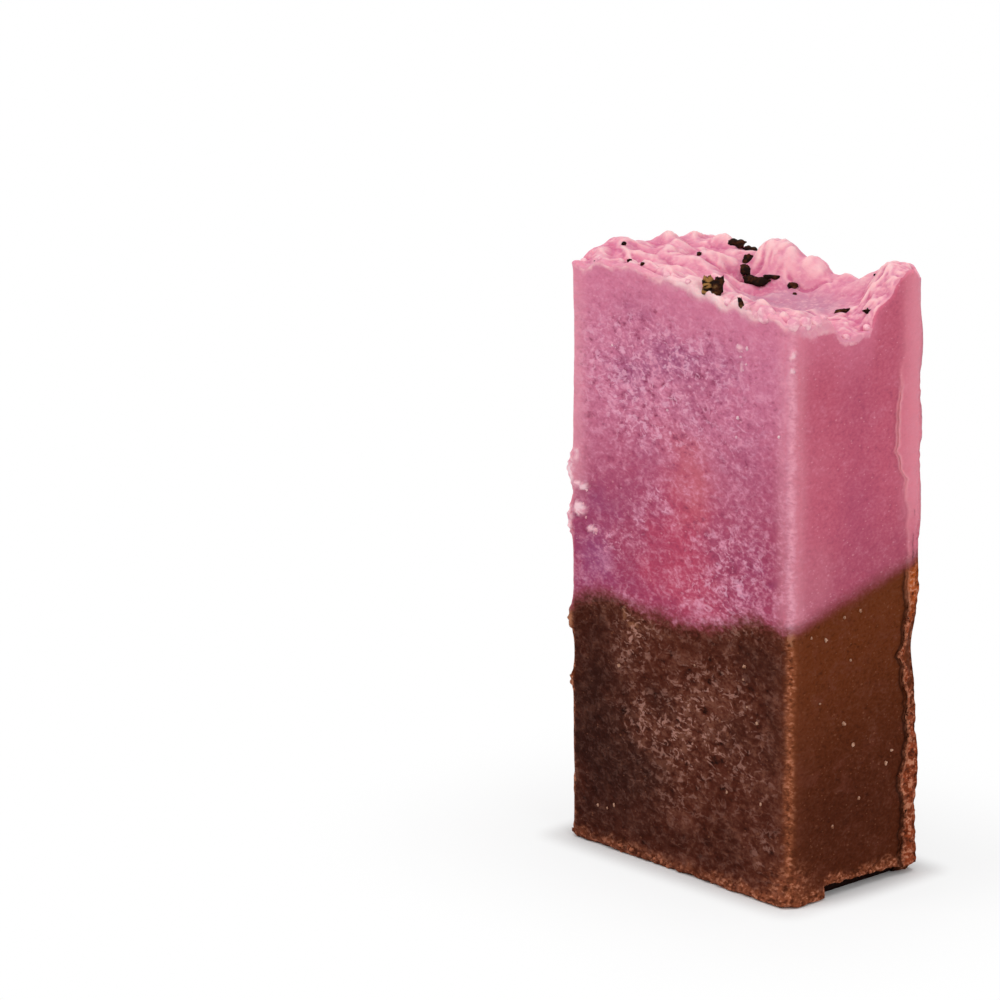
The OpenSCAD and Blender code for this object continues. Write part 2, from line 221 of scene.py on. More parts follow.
# Fields of pale crystal bloom on the front face
BLOOMS = [
    (-2.4, 75.5, 13, 7, 0.9), (-12, 73, 9, 8, 0.9), (-5, 68, 9, 5, 0.7), (-4.5, 56, 2.6, 2, 0.8),
    (-8.7, 52, 3, 2.2, 0.9), (-14, 47, 3.2, 2.6, 0.8), (10.3, 50, 9, 7, 0.7), (8, 43, 10, 4, 0.6),
    (12, 68, 5, 8, 0.4), (-10.2, 32.5, 4, 4, 0.8), (-8.7, 21, 6, 5, 0.8), (2.3, 21.6, 6, 6, 1),
    (8, 30, 8, 5, 0.6), (14, 20, 6, 7, 0.5), (-4, 12, 10, 4, 0.4), (-9, 36, 4, 2.5, 0.9), (19, 8, 3, 4, 0.4),
    (5, 79, 4, 3, 0.4),
]

# Dark fields on the front face
SHADES = [
    (-17.6, 19, 6.5, 14, 1.3), (-8, 12, 6, 5, 0.8), (-9, 42, 6, 2.5, 0.4), (-8, 55, 5, 4, 0.4),
    (3, 73, 4, 4, 0.6), (13, 67, 4, 4, 0.35), (19.5, 26, 3, 9, 0.5), (-18, 34, 4, 3, 0.25), (-8, 62, 4, 6, 0.3),
    (-10, 17, 5, 3, 0.6), (-4, 26, 3, 3, 0.6), (16, 36, 7, 3, 0.5), (11, 8, 5, 4, 0.4), (-17, 54, 5, 2.6, 0.8),
    (18.9, 48.4, 0.7, 0.9, 1), (16, 54, 4, 3, 0.15), (-8, 84, 4, 3, 0.35), (-6, 5, 14, 3, 0.5),
    (12, 24, 3, 3, 0.5), (-20, 46, 3, 8, 0.4),
]

# Light and dark fields on the narrow right face: from front to back, up, two radii, amount
SIDE_LIGHTS = [(-8, 47, 3.6, 7, 0.35), (-8, 66, 3, 5, 0.12), (-8, 27, 3, 5, 0.4), (7, 44, 3, 4, 0.25)]
SIDE_SHADES = [(0, 58, 4, 7, 0.4), (0, 74, 3.5, 7, 0.25), (-2, 12, 9, 6, 0.12)]

# Fields by which the colours' seam on the front face lies above the pours' one
SEAM_SHIFTS = [(-17, 39, 7, 7, 1.6), (14, 42, 7, 6, 1), (4, 39, 6, 7, 0.5)]

# Light crumbs and spots of soap on the upright front edges: place, radius, half height, amount
SPOTS = [
    (12.5, -13.2, 82.2, 0.7, 0.6, 0.7), (12.9, -13.2, 79.6, 0.45, 0.9, 0.5),
    (-23, -13, 57.2, 1.7, 2.6, 1), (-20.8, -13.2, 55, 1.9, 0.6, 1), (-23.3, -13, 50, 1.3, 3, 1),
    (-20.8, -13.2, 51.3, 1.5, 1.2, 1), (-18.4, -13.2, 48.6, 1.1, 0.6, 1),
    (-21.6, -13.2, 59.4, 0.8, 1.2, 0.8), (-22.9, -13, 34.2, 1.3, 1.8, 0.9),
    (-23.2, -12.8, 24.7, 0.8, 1.1, 0.7), (22.6, -12.6, 40.6, 0.55, 1.2, 0.8),
    (22.4, -12.5, 83, 0.45, 0.9, 0.9), (22.5, -12.5, 80.6, 0.35, 0.6, 0.8), (-11.3, -13.2, 37.4, 0.5, 1.2, 0.45),
    (-9.4, -13.2, 36, 1.3, 0.4, 0.4), (-22.6, -13, 8, 0.6, 2, 0.4),
]

# Pale grains on the front face: across, up, size
FRONT_GRAINS = [
    (12, 82.4, 0.5), (12.8, 81.8, 0.45), (13.9, 82.4, 0.6), (12.6, 80.9, 0.4), (13.7, 80, 0.35), (13.1, 79, 0.4),
    (12.1, 71.8, 0.45), (11.9, 68.9, 0.4), (20.4, 70.6, 0.45), (-2.4, 70, 0.35), (-14, 77.5, 0.35),
    (13.7, 34.8, 0.6), (-12.5, 29, 0.55), (16.4, 26.9, 0.5), (-13.5, 7, 0.5), (-17, 6.2, 0.45), (10.3, 14.9, 0.45),
    (17.4, 14.8, 0.45), (13.5, 32.8, 0.35), (14.3, 28.9, 0.35), (3.5, 32.7, 0.35), (-15, 6.2, 0.35),
]

# Pale grains on the narrow right face: from front to back, up, size
RIGHT_GRAINS = [
    (1, 42.4, 0.55), (-2.3, 42.1, 0.45), (-9, 40.4, 0.4), (-6.1, 39.5, 0.55), (-1, 35.4, 0.45), (-2, 25.9, 0.7),
    (-0.1, 22.3, 0.6), (6.6, 18, 0.5), (7.8, 19.7, 0.45), (1, 13.9, 0.5), (-4.3, 10.7, 0.45), (-7, 30, 0.35),
]

# Round beads on the rim of the poured top: across, from front to back, radius, depth of the dimple as a share
RIM_BEADS = [
    (17.2, -12.7, 1.35, 0.55), (15.4, -12.7, 0.65, 0), (22, -12, 1, 0), (13.4, -12.8, 0.5, 0),
    (22.4, -10.2, 1.05, 0), (22.5, -8, 0.9, 0.2), (22.4, -6.4, 0.6, 0), (22.5, -1.9, 0.6, 0), (-22.3, -11, 0.6, 0),
    (-17, -12.7, 0.5, 0), (-3, -12.8, 0.5, 0), (1.4, -12.8, 0.45, 0), (9.6, -12.8, 0.6, 0), (22.4, 2.4, 0.6, 0),
]


class Noise:
    """Seeded gradient noise and scattered cells over points in millimetres."""

    def __init__(self, seed):
        draw = np.random.default_rng(seed)
        table = draw.permutation(256)
        self.table = np.concatenate([table, table])
        slopes = draw.normal(size=(256, 3))
        self.slopes = slopes / np.linalg.norm(slopes, axis=1)[:, None]
        self.places = draw.random((256, 3))

    def key(self, cell):
        """Number from 0 to 255 that belongs to each grid cell."""
        c = cell & 255
        return self.table[self.table[self.table[c[:, 0]] + c[:, 1]] + c[:, 2]]

    def waves(self, points, size):
        """Gradient noise, about -1 to 1, with forms of one size."""
        q = points / size
        cell = np.floor(q).astype(int)
        f = q - cell
        u = f * f * f * (f * (f * 6 - 15) + 10)
        out = np.zeros(len(points))
        for corner in itertools.product((0, 1), repeat=3):
            slope = self.slopes[self.key(cell + corner)]
            weight = np.prod(np.where(corner, u, 1 - u), axis=1)
            out += weight * ((f - corner) * slope).sum(1)
        return 1.6 * out

    def rough(self, points, size, octaves=3):
        """Gradient noise of several sizes, each half as large and half as strong as the one before."""
        return sum(self.waves(points + 31.7 * o, size / 2**o) / 2**o for o in range(octaves))

    def creases(self, points, size, octaves=3):
        """Noise with sharp ridges, 0 to 1."""
        return sum(
            (1 - np.abs(self.waves(points + 17.3 * o, size / 2**o))) ** 2 / 2**o for o in range(octaves)
        ) / (2 - 0.5 ** (octaves - 1))

    def cells(self, points, size):
        """Distance to the nearest scattered point, in cells, and that point's share of 0 to 1."""
        q = points / size
        cell = np.floor(q).astype(int)
        f = q - cell
        near = np.full(len(points), 9.0)
        which = np.zeros(len(points))
        for step in itertools.product((-1, 0, 1), repeat=3):
            key = self.key(cell + step)
            d = np.linalg.norm(f - step - self.places[key], axis=1)
            which = np.where(d < near, key / 255, which)
            near = np.minimum(near, d)
        return near, which


noise = Noise(7)

# Scale of the mottle's coordinates: its forms are wider than they are high
SPREAD = (0.74, 0.74, 1.05)


def mix(a, b, t):
    """From a at t = 0 to b at t = 1."""
    return a + (b - a) * t


def bump(x):
    """Round form: 1 at 0, falling to about 0 at 2."""
    return np.exp(-x * x)


def step(low, high, x):
    """Smooth step from 0 at low to 1 at high."""
    t = np.clip((x - low) / (high - low), 0, 1)
    return t * t * (3 - 2 * t)


def stack(*parts):
    """Points from their coordinates, each an array or a number."""
    return np.stack([a.ravel() for a in np.broadcast_arrays(*parts)], axis=1)


# Shape functions of the part's source


def away(x, y, form):
    """Distance from a form of the relief's table, in its radii."""
    return np.hypot((x - form[0] * HALF_W) / form[2], (y - form[1] * HALF_D) / form[3])


def pool(x, y):
    """1 in the smooth pool of the broad hollow, falling to 0 outside it."""
    return bump(away(x, y, RELIEF[0]))


def top_at(x, y):
    """Height of the solid's poured top."""
    deg = np.radians
    ripple = RIPPLE * (1 - 0.8 * pool(x, y)) * (
        np.sin(deg(62 * x + 55 * np.sin(deg(47 * y)))) + np.sin(deg(74 * y + 60 * np.sin(deg(53 * x)) + 80))
    )
    return BAR_H + ripple + sum(f[4] * bump(away(x, y, f) ** MOUND) for f in RELIEF)


def seam_at(x, y):
    """Height of the seam between the pours."""
    wave = np.cos(2 * math.pi * (1.5 * x / BAR_W + 0.4))
    return SEAM_H + SEAM_RISE_W * x / BAR_W + SEAM_RISE_D * y / BAR_D + SEAM_WAVE * wave


def grid_lines(cells, half):
    """Lines of the plan grid along one axis, closer in the worn corners."""
    worn = np.linspace(0, EDGE_R, CORNER_CELLS + 1)
    middle = np.linspace(EDGE_R - half, half - EDGE_R, cells - 2 * CORNER_CELLS + 1)
    return np.concatenate([worn - half, middle[1:-1], half - worn[::-1]])


def past_edges(x, y, inset):
    """How far plan positions lie inside the worn corners, along each axis."""
    return (
        np.maximum(0, np.abs(x) - HALF_W + inset + EDGE_R),
        np.maximum(0, np.abs(y) - HALF_D + inset + EDGE_R),
    )


def plan(i, j, inset):
    """Plan positions of grid points, drawn in to the worn outline."""
    x = grid_lines(CELLS_W, HALF_W - inset)[i]
    y = grid_lines(CELLS_D, HALF_D - inset)[j]
    rx, ry = past_edges(x, y, inset)
    flat = (x > 0) & (y < 0)
    reach = np.where(flat, rx + ry, np.hypot(rx, ry))
    both = np.minimum(rx, ry) > 0
    pull = np.where(both, np.maximum(rx, ry) / np.maximum(reach, 1e-9), 1)
    return x - np.sign(x) * rx * (1 - pull), y - np.sign(y) * ry * (1 - pull)


def border_cells(k):
    """Grid cell of each border point, counted round the outline from the front left."""
    w, d = CELLS_W, CELLS_D
    i = np.select([k < w, k < w + d, k < 2 * w + d], [k, w, 2 * w + d - k], 0)
    j = np.select([k < w, k < w + d, k < 2 * w + d], [0, k - w, d], BORDER - k)
    return i, j


COLUMN_I, COLUMN_J = border_cells(np.arange(COLUMNS) * 2)


def facings():
    """Outward direction of the wall in plan at each column."""
    x = grid_lines(CELLS_W, HALF_W)[COLUMN_I]
    y = grid_lines(CELLS_D, HALF_D)[COLUMN_J]
    rx, ry = past_edges(x, y, 0)
    size = np.hypot(rx, ry)
    return np.sign(x) * rx / size, np.sign(y) * ry / size


def burr_edge(z):
    """Distance from the back face to the ragged inner edge of the burr."""
    at, wide = np.array(BURR_EDGE).T
    p = stack(z, 3.0, 5.0)
    rag = 0.4 * noise.waves(p, 2.3) + 0.34 * noise.waves(p, 1.1) + 0.16 * noise.waves(p, 0.6)
    return np.interp(z, at, wide) + rag.reshape(np.shape(z))


def burr_crisp(z):
    """Strength of the burr's lip at heights z."""
    at, share = np.array(BURR_CRISP).T
    return np.interp(z, at, share)


def lip_columns():
    """Columns of the right face: those of the flat face, of the burr's section and of the burr's top."""
    first, last = CORNER_CELLS, CELLS_D - CORNER_CELLS
    on = np.flatnonzero((COLUMN_I == CELLS_W) & (COLUMN_J >= first) & (COLUMN_J <= last))
    lip = on[-len(LIP) - LIP_TOP:-LIP_TOP]
    return on[:lip[0] - on[0]], lip, on[-LIP_TOP:]


FLAT_COLUMNS, LIP_COLUMNS, LIP_TOP_COLUMNS = lip_columns()
FACE_X, FACE_Y = facings()


def wall(z, inset=0.0, detail=None):
    """Wall points at heights z, an array of levels by columns. Detail is how far fine relief stands out."""
    x, y = plan(COLUMN_I, COLUMN_J, 0)
    x = np.broadcast_to(x, z.shape).copy()
    y = np.broadcast_to(y, z.shape).copy()
    from_burr = np.hypot(x - HALF_W, y - HALF_D)
    from_lumps = np.hypot(x + HALF_W, y + HALF_D)
    out = DRAG * np.sin(2 * math.pi * z / DRAG_PITCH + np.radians(9 * x)) * np.cos(np.radians(5 * y))
    reach = CORNER_REACH * EDGE_R
    out = out - BITE * bump((z - BITE_AT[0]) / BITE_AT[1]) * bump(from_burr / reach)
    out = out + sum(f[2] * bump((z - f[0]) / f[1]) for f in LUMPS) * bump(from_lumps / reach)

    # The right face's columns follow the ragged edge of the burr
    edge = HALF_D - burr_edge(z)
    crisp = burr_crisp(z)
    thick = BURR_T * (0.8 + 0.2 * np.sin(2 * math.pi * z / 13)) * mix(1, 0.5, step(78, 86, z))
    share = np.linspace(0, 1, len(FLAT_COLUMNS))
    start = mix(SOFT_LIP[0][0], LIP[0][0], crisp) - 0.35
    y[:, FLAT_COLUMNS] = mix(EDGE_R - HALF_D, (edge + start)[:, FLAT_COLUMNS], share)
    for column, sharp, soft in zip(LIP_COLUMNS, LIP, SOFT_LIP):
        y[:, column] = (edge + mix(soft[0], sharp[0], crisp))[:, column]
        out[:, column] += (thick * mix(soft[1], sharp[1], crisp))[:, column]
    share = np.linspace(0, 1, LIP_TOP + 1)[:-1]
    start = edge + mix(SOFT_LIP[-1][0], LIP[-1][0], crisp) + 0.25
    y[:, LIP_TOP_COLUMNS] = mix(start[:, LIP_TOP_COLUMNS], HALF_D - EDGE_R - 0.1, share)
    out[:, LIP_TOP_COLUMNS] += thick[:, LIP_TOP_COLUMNS]
    corner = (COLUMN_I == CELLS_W) & (COLUMN_J > CELLS_D - CORNER_CELLS)
    out[:, corner] += thick[:, corner]
    turn = (COLUMN_J == CELLS_D) & (COLUMN_I >= CELLS_W - CORNER_CELLS)
    out[:, turn] += thick[:, turn] * step(CELLS_W - CORNER_CELLS, CELLS_W, COLUMN_I[turn])

    if detail is not None:
        out = out + detail
    out = out - inset
    return np.stack([x + out * FACE_X, y + out * FACE_Y, np.broadcast_to(z, x.shape)], axis=2)


def spots(points):
    """1 on the light crumbs and spots of the upright front edges, with ragged outlines."""
    x, y, z = (points + 0.35 * np.stack([noise.rough(points + k, 1.3, 2) for k in (3, 11, 19)], axis=1)).T
    z = z + 0.3 * noise.rough(points + 60, 0.6, 2)
    return np.max([
        f[5] * step(1.1, 0.75, np.hypot(np.hypot(x - f[0], y - f[1]) / f[3], (z - f[2]) / f[4])) for f in SPOTS
    ], axis=0)


def on_cut(points):
    """1 on the wide cut faces, 0 on the narrow faces."""
    return step(0.2, 1.2, EDGE_R - (HALF_D - np.abs(points[:, 1])) + 0.2) * step(
        0.4, 1.4, HALF_W - np.abs(points[:, 0])
    )


def forms_sum(a, b, forms, power=1):
    """Sum of a table's round forms over two coordinates."""
    return sum(f[4] * bump(np.hypot((a - f[0]) / f[2], (b - f[1]) / f[3]) ** power) for f in forms)


def fields(points, forms):
    """Sum of the fields of a table on the cut faces, with ragged edges."""
    bend = 2.2 * noise.rough(points, 5)
    x = np.where(points[:, 1] < 0, points[:, 0], -points[:, 0]) + bend
    return forms_sum(x, points[:, 2] + 1.8 * noise.rough(points + 50, 5), forms)


def side_fields(points, forms):
    """Sum of the fields of a table on the right face, with ragged edges."""
    y = points[:, 1] + 1.2 * noise.rough(points + 30, 4)
    z = points[:, 2] + 1.6 * noise.rough(points + 90, 4)
    return step(HALF_W - 0.8, HALF_W - 0.3, points[:, 0]) * forms_sum(y, z, forms)


def relief(points):
    """Fine relief of the walls at points of levels by columns, and how light or dark it makes the soap: the crystal
    grain's own tone, with painted highlight on raised grain and burr knobs and painted shade in pits.
    """
    shape = points.shape[:2]
    p = points.reshape(-1, 3)
    x, y, z = p.T
    cut = on_cut(p)
    bloom = np.clip(fields(p, BLOOMS), 0, 1)
    wide = p * SPREAD
    crystal = noise.creases(wide, 1.9, 3) - 0.42
    lumps = noise.rough(wide + 5, 1.5, 2)
    near, which = noise.cells(wide, 2.3)
    pits = step(0.26, 0.1, near) * (which > 0.5)
    grain_and_shading = 0.8 * crystal + 0.45 * lumps
    out = 0.05 * noise.rough(p, 4, 3)
    out += cut * (0.07 + 0.15 * bloom) * grain_and_shading
    out += (1 - cut) * 0.02 * noise.rough(p + 9, 0.9, 2)
    out -= (0.06 + 0.12 * cut) * pits
    out += 0.3 * spots(p)
    on_burr = step(0, 0.3, y - HALF_D + burr_edge(z)) * step(HALF_W - 0.5, HALF_W, x) * burr_crisp(z)
    lumpy = step(0.2, 0.6, sum(bump((z - f[0]) / f[1]) for f in LUMPS))
    on_lumps = bump(np.hypot(x + HALF_W, y + HALF_D) / 1.6) * lumpy
    knobs = noise.rough(p + 21, 1.3, 3)
    out += 0.24 * on_burr * (knobs - 0.3) + 0.4 * on_lumps * (noise.rough(p + 3, 0.9, 2) - 0.3)
    # Painted light from the relief: lighter on raised crystal grain and burr knobs, painted shade in pits
    tint = cut * np.clip(2.4 * grain_and_shading, -1, 1) - (0.3 + 0.7 * cut) * pits + 0.8 * on_burr * knobs
    return out.reshape(shape), tint


def from_line(x, y, course):
    """Distance from plan positions to a line of points."""
    best = np.full(x.shape, 99.0)
    for (ax, ay), (bx, by) in zip(course, course[1:]):
        dx, dy = bx - ax, by - ay
        t = np.clip(((x - ax) * dx + (y - ay) * dy) / (dx * dx + dy * dy), 0, 1)
        best = np.minimum(best, np.hypot(x - ax - t * dx, y - ay - t * dy))
    return best


def soften(z, cells):
    """A grid of heights, blurred over a number of cells."""
    kernel = bump(np.arange(-2 * cells, 2 * cells + 1) / cells)
    kernel /= kernel.sum()
    z = np.pad(z, 2 * cells, mode="edge")
    z = np.apply_along_axis(np.convolve, 1, z, kernel, "valid")
    return np.apply_along_axis(np.convolve, 0, z, kernel, "valid")


def corner_wear_and_highlight(points):
    """1 along the four upright edges, 0 on the faces."""
    rx, ry = past_edges(points[:, 0], points[:, 1], 0)
    return step(0.1, 0.9, np.minimum(rx, ry) / EDGE_R * 1.6 + 0.25 * noise.rough(points, 1.6))


def top_points():
    """Points of the poured top with its fine relief, as grid rows by columns, and 1 on ridges to -1 in creases, which
    the material paints as highlight on ridges and shade in creases.
    """
    j, i = np.mgrid[0:CELLS_D + 1, 0:CELLS_W + 1]
    x, y = plan(i, j, RIM_R)
    z = poured_top(x, y)
    ridge = (z - soften(z, 6)) / 0.28 + (z - soften(z, 2)) / 0.1
    return np.stack([x, y, z], axis=2), np.clip(0.6 * ridge, -1, 1)


def poured_top(x, y):
    """Height of the poured top with its fine relief, over arrays of rows and columns."""
    p = stack(x, y, 40.0)
    bx = x + 0.7 * noise.waves(p, 2.7).reshape(x.shape)
    by = y + 0.7 * noise.waves(p + 80, 2.7).reshape(x.shape)
    bend = stack(bx, by, 40.0)
    smooth = pool(x, y) ** 0.7
    z = top_at(x, y)
    z = z + forms_sum(bx, by, TOP_FORMS, MOUND)
    z = z + sum(height * bump(from_line(bx, by, course) / width) for height, width, course in CREASES)
    folds = noise.creases(bend, 3.6, 2).reshape(x.shape) - 0.5
    fine = noise.rough(bend, 1.2, 3).reshape(x.shape)
    pebbles = 0.3 - noise.cells(bend, 2.6)[0].reshape(x.shape) ** 2
    beads = 0.3 - noise.cells(bend + 7, 1.3)[0].reshape(x.shape) ** 2
    rim = bump((HALF_D + y) / 1.6)
    blob = bump(away(x, y, RELIEF[6]) ** 2)
    calm = (1 - 0.85 * smooth) * (1 - 0.6 * blob)
    z = z + 0.8 * blob * (0.35 * beads + 0.2 * fine)
    z = z + step(14, 18, x) * step(-1, 4, y) * (0.35 * beads + 0.25 * fine)
    z = z + calm * (0.25 * folds + 0.6 * pebbles + (0.08 + 0.06 * rim) * beads + 0.12 * fine)
    high, soft = cad_box[1][2] / MM - 0.02, 0.3
    return high - soft * np.logaddexp(0, (high - z) / soft)


def top_height(x, y):
    """Height of the poured top at one place."""
    return poured_top(np.array([[x]]), np.array([[y]]))[0, 0]


def strips(a, b):
    """Faces between two rings of columns that start at points a and b, b being the upper or outer one."""
    k = np.arange(COLUMNS)
    n = (k + 1) % COLUMNS
    return np.stack([a + k, a + n, b + n, b + k], axis=1)


def fan(ring, centre):
    """Triangles between a ring of columns and one point."""
    k = np.arange(COLUMNS)
    return np.stack([ring + k, ring + (k + 1) % COLUMNS, np.full(COLUMNS, centre)], axis=1)


def seam_inner(share):
    """Ring of points on the seam, at a share of the way out from the middle."""
    x, y = plan(COLUMN_I, COLUMN_J, 0)
    return np.stack([share * x, share * y, seam_at(share * x, share * y)], axis=1)


def seam_face(edge):
    """Points of the face between the pours: its own copy of the wall's edge, an inner ring and the middle."""
    return np.concatenate([edge, seam_inner(0.55), [[0, 0, seam_at(0, 0)]]])


def heights(low, high, shares):
    """Levels by columns, at shares of the way from low to high."""
    return mix(low[None, :], high[None, :], shares[:, None])


def build_top_skin():
    """Points, faces and marks of the second pour: seam, wall, rim and poured top. Its marks hold the walls' grain with
    painted light and shade, the top's painted highlight on ridges and shade in creases, and the depth under the rim.
    """
    top, ridge = top_points()
    grid_i, grid_j = border_cells(np.arange(BORDER))
    edge_z = top[grid_j[::2], grid_i[::2], 2]
    x, y = plan(COLUMN_I, COLUMN_J, 0)
    low = seam_at(x, y)
    low_rim = edge_z - RIM_R
    z = heights(low, low_rim, np.linspace(0, 1, TOP_LEVELS + 1))
    plain = wall(z)
    rough, tint = relief(plain)
    under_rim = low_rim[None, :] - z
    curl = np.clip(noise.rough(plain.reshape(-1, 3), 2.2, 2) + 0.25, 0, 1).reshape(z.shape)
    rough = rough + 0.3 * curl * bump(under_rim / 0.7)
    rough[:FADE] *= np.linspace(0, 0.9, FADE)[:, None]
    rings = wall(z, detail=rough)
    last = rough[-1]
    turn = np.linspace(0, math.pi / 2, RIM_LEVELS + 1)[1:-1]
    rim = [
        wall((low_rim + RIM_R * math.sin(t))[None, :], RIM_R * (1 - math.cos(t)), (last * math.cos(t))[None, :])[0]
        for t in turn
    ]
    rings = np.concatenate([rings, rim])
    count = len(rings)
    wall_points = rings.reshape(-1, 3)
    inner = len(wall_points)
    grid = inner + 2 * COLUMNS + 1
    points = np.concatenate([wall_points, seam_face(rings[0]), top.reshape(-1, 3)])
    grain_and_shading = np.zeros(len(points))
    grain_and_shading[:len(tint)] = tint
    grain_and_shading[grid:] = ridge.ravel()
    under = np.zeros(len(points))
    under[:under_rim.size] = RIM_R + under_rim.ravel()
    quads = [strips(n * COLUMNS, (n + 1) * COLUMNS) for n in range(count - 1)]
    quads.append(strips(inner + COLUMNS, inner))
    j, i = np.mgrid[0:CELLS_D, 0:CELLS_W]
    a = (grid + j * (CELLS_W + 1) + i).ravel()
    quads.append(np.stack([a, a + 1, a + CELLS_W + 2, a + CELLS_W + 1], axis=1))
    at = grid + grid_j * (CELLS_W + 1) + grid_i
    k = np.arange(COLUMNS)
    ring = (count - 1) * COLUMNS
    n = (k + 1) % COLUMNS
    a, b, c = at[2 * k], at[2 * k + 1], at[2 * n]
    triangles = np.concatenate([
        np.stack([ring + k, b, a], axis=1),
        np.stack([ring + k, ring + n, b], axis=1),
        np.stack([ring + n, c, b], axis=1),
        fan(inner + COLUMNS, inner + 2 * COLUMNS)[:, ::-1],
    ])
    return points, np.concatenate(quads).tolist() + triangles.tolist(), {"grain_and_shading": grain_and_shading, "under": under}, grid


def hollow_height(y):
    """Height of the hollow under the right face, from front to back."""
    return np.interp(y, [-6, 2, 10], [1.9, 1.7, 1.2])


def foot_height():
    """Height of the crumbled bottom edge at each column, and how far it hollows the narrow right face."""
    x, y = plan(COLUMN_I, COLUMN_J, 0)
    p = stack(x, y, 0.0)
    worn = np.clip(CRUMBLE * (0.6 + 0.5 * noise.rough(p, 2.4, 3)), 0.12, 2)
    right = np.where(COLUMN_I == CELLS_W, step(-6.7, -6.2, y) * (1 - bump((HALF_D - y) / 2.2)), 0)
    high = hollow_height(y) + 0.25 * noise.rough(p, 1.5, 2)
    on_burr = step(8.5, 10.5, y) * step(HALF_W - 1.5, HALF_W - 0.5, x)
    return mix(worn, high, right) + 0.8 * on_burr * (1 - right), right


def build_base_skin():
    """Points, faces and marks of the first pour: base, wall and seam. Its marks hold the walls' grain with painted
    light and shade, and where the hollow under the right face lies.
    """
    x, y = plan(COLUMN_I, COLUMN_J, 0)
    up, hollow = foot_height()
    z = heights(up, seam_at(x, y), np.linspace(0, 1, BASE_LEVELS + 1) ** 1.15)
    plain = wall(z)
    rough, tint = relief(plain)
    curl = np.clip(noise.rough(plain.reshape(-1, 3), 1.9, 2) + 0.3, 0, 1).reshape(z.shape)
    rough = rough + 0.3 * curl * bump((z - up - 0.2) / 0.6)
    near_corner = bump((HALF_W - x + HALF_D + y) / 3) * step(6, 2, z)
    knobs = noise.creases(plain.reshape(-1, 3), 1.8, 3).reshape(z.shape) - 0.5
    corner = np.maximum(step(4, 18, x) * (y < 0), (x > HALF_W - EDGE_R) * step(-6, -7, y)) * (1 - hollow)
    flare = 0.55 * corner * bump(np.maximum(0, z - 0.6) / 1.5)
    rough = rough + flare + 0.7 * knobs * np.maximum(near_corner, 0.6 * step(2.2, 1, z - up))
    # Painted highlight on the knobs of the worn corner and bottom edge, and painted shade between them
    tint = tint + (1.5 * knobs * np.maximum(near_corner, step(2.2, 1, z - up))).ravel()
    rough[-FADE:] *= np.linspace(0.9, 0, FADE)[:, None]
    rings = wall(z, detail=rough)
    foot = []
    for share, round_in, hollow_in in FOOT:
        inset = mix(CRUMBLE_RUN * up * round_in * (1 - 0.8 * corner), 1.7 * hollow_in, hollow)
        foot.append(wall((up * share)[None, :], inset, (rough[0] * share)[None, :])[0])
    rings = np.concatenate([foot, rings])
    count = len(rings)
    wall_points = rings.reshape(-1, 3)
    inner = len(wall_points)
    points = np.concatenate([wall_points, seam_face(rings[-1]), [[0, 0, 0]]])
    grain_and_shading, hollow_z, in_hollow = np.zeros((3, len(points)))
    grain_and_shading[len(FOOT) * COLUMNS:inner] = tint
    hollow_z[:inner] = np.tile(1.3 * UNDERCUT * hollow, count)
    in_hollow[:len(FOOT) * COLUMNS] = np.tile(hollow, len(FOOT))
    quads = [strips(n * COLUMNS, (n + 1) * COLUMNS) for n in range(count - 1)]
    quads.append(strips(inner, inner + COLUMNS))
    triangles = np.concatenate([fan(inner + COLUMNS, inner + 2 * COLUMNS), fan(0, inner + 2 * COLUMNS + 1)[:, ::-1]])
    extra = {"grain_and_shading": grain_and_shading, "hollow_z": hollow_z, "in_hollow": in_hollow}
    return points, np.concatenate(quads).tolist() + triangles.tolist(), extra


def crumb_places(rng):
    """Places and sizes of the crumbs along the torn edges: those of the first pour, then those of the second."""
    def some(count, low, high):
        return rng.uniform(low, high, count)

    front, right, back = -HALF_D, HALF_W, HALF_D
    x, z, size = some(70, -22.4, 21.5), some(70, 0.3, 1.2), some(70, 0.3, 0.75)
    foot = [(a, front + 0.12, b, c) for a, b, c in zip(x, z, size)]
    share, z, size = some(20, 0, 1), 0.4 + 3.5 * some(20, 0, 1) ** 2, some(20, 0.3, 0.7)
    corner = [(right - 0.2 - 1.3 * (1 - a), front + 0.2 + 1.3 * a, b, c) for a, b, c in zip(share, z, size)]
    y, z, size = some(34, -6, 9), some(34, 0, 0.3), some(34, 0.3, 0.55)
    lip = [(right - 0.1, a, 0.2 + float(hollow_height(a)) + b, c) for a, b, c in zip(y, z, size)]
    z, size = some(60, 2, 43), some(60, 0.3, 0.75)
    burr = [(right + 0.35, back - float(burr_edge(np.array([a]))[0]) + 0.15, a, c) for a, c in zip(z, size)]
    edge = []
    for x, y, z, radius, half, _ in SPOTS[2:7]:
        for _ in range(6):
            aside, up = rng.uniform(0.2, 1) * radius, rng.uniform(-0.9, 0.9) * half
            edge.append((x + aside, y + 0.15, z + up, rng.uniform(0.3, 0.6)))
    return foot + corner + lip + burr, edge


def add_object(name, data):
    """A new object of some data, in the scene."""
    item = bpy.data.objects.new(name, data)
    bpy.context.scene.collection.objects.link(item)
    return item


def make_piece(name, points, faces, marks=None):
    """A mesh object from points in millimetres, kept in the solids' box, with its marks as point attributes."""
    low, high = np.array(cad_box)
    mesh = bpy.data.meshes.new(name)
    mesh.from_pydata(np.clip(points * MM, low, high).tolist(), [], faces)
    mesh.polygons.foreach_set("use_smooth", np.ones(len(mesh.polygons), bool))
    for mark, values in (marks or {}).items():
        mesh.attributes.new(mark, "FLOAT", "POINT").data.foreach_set("value", values.astype(np.float32))
    mesh.update()
    return add_object(name, mesh)


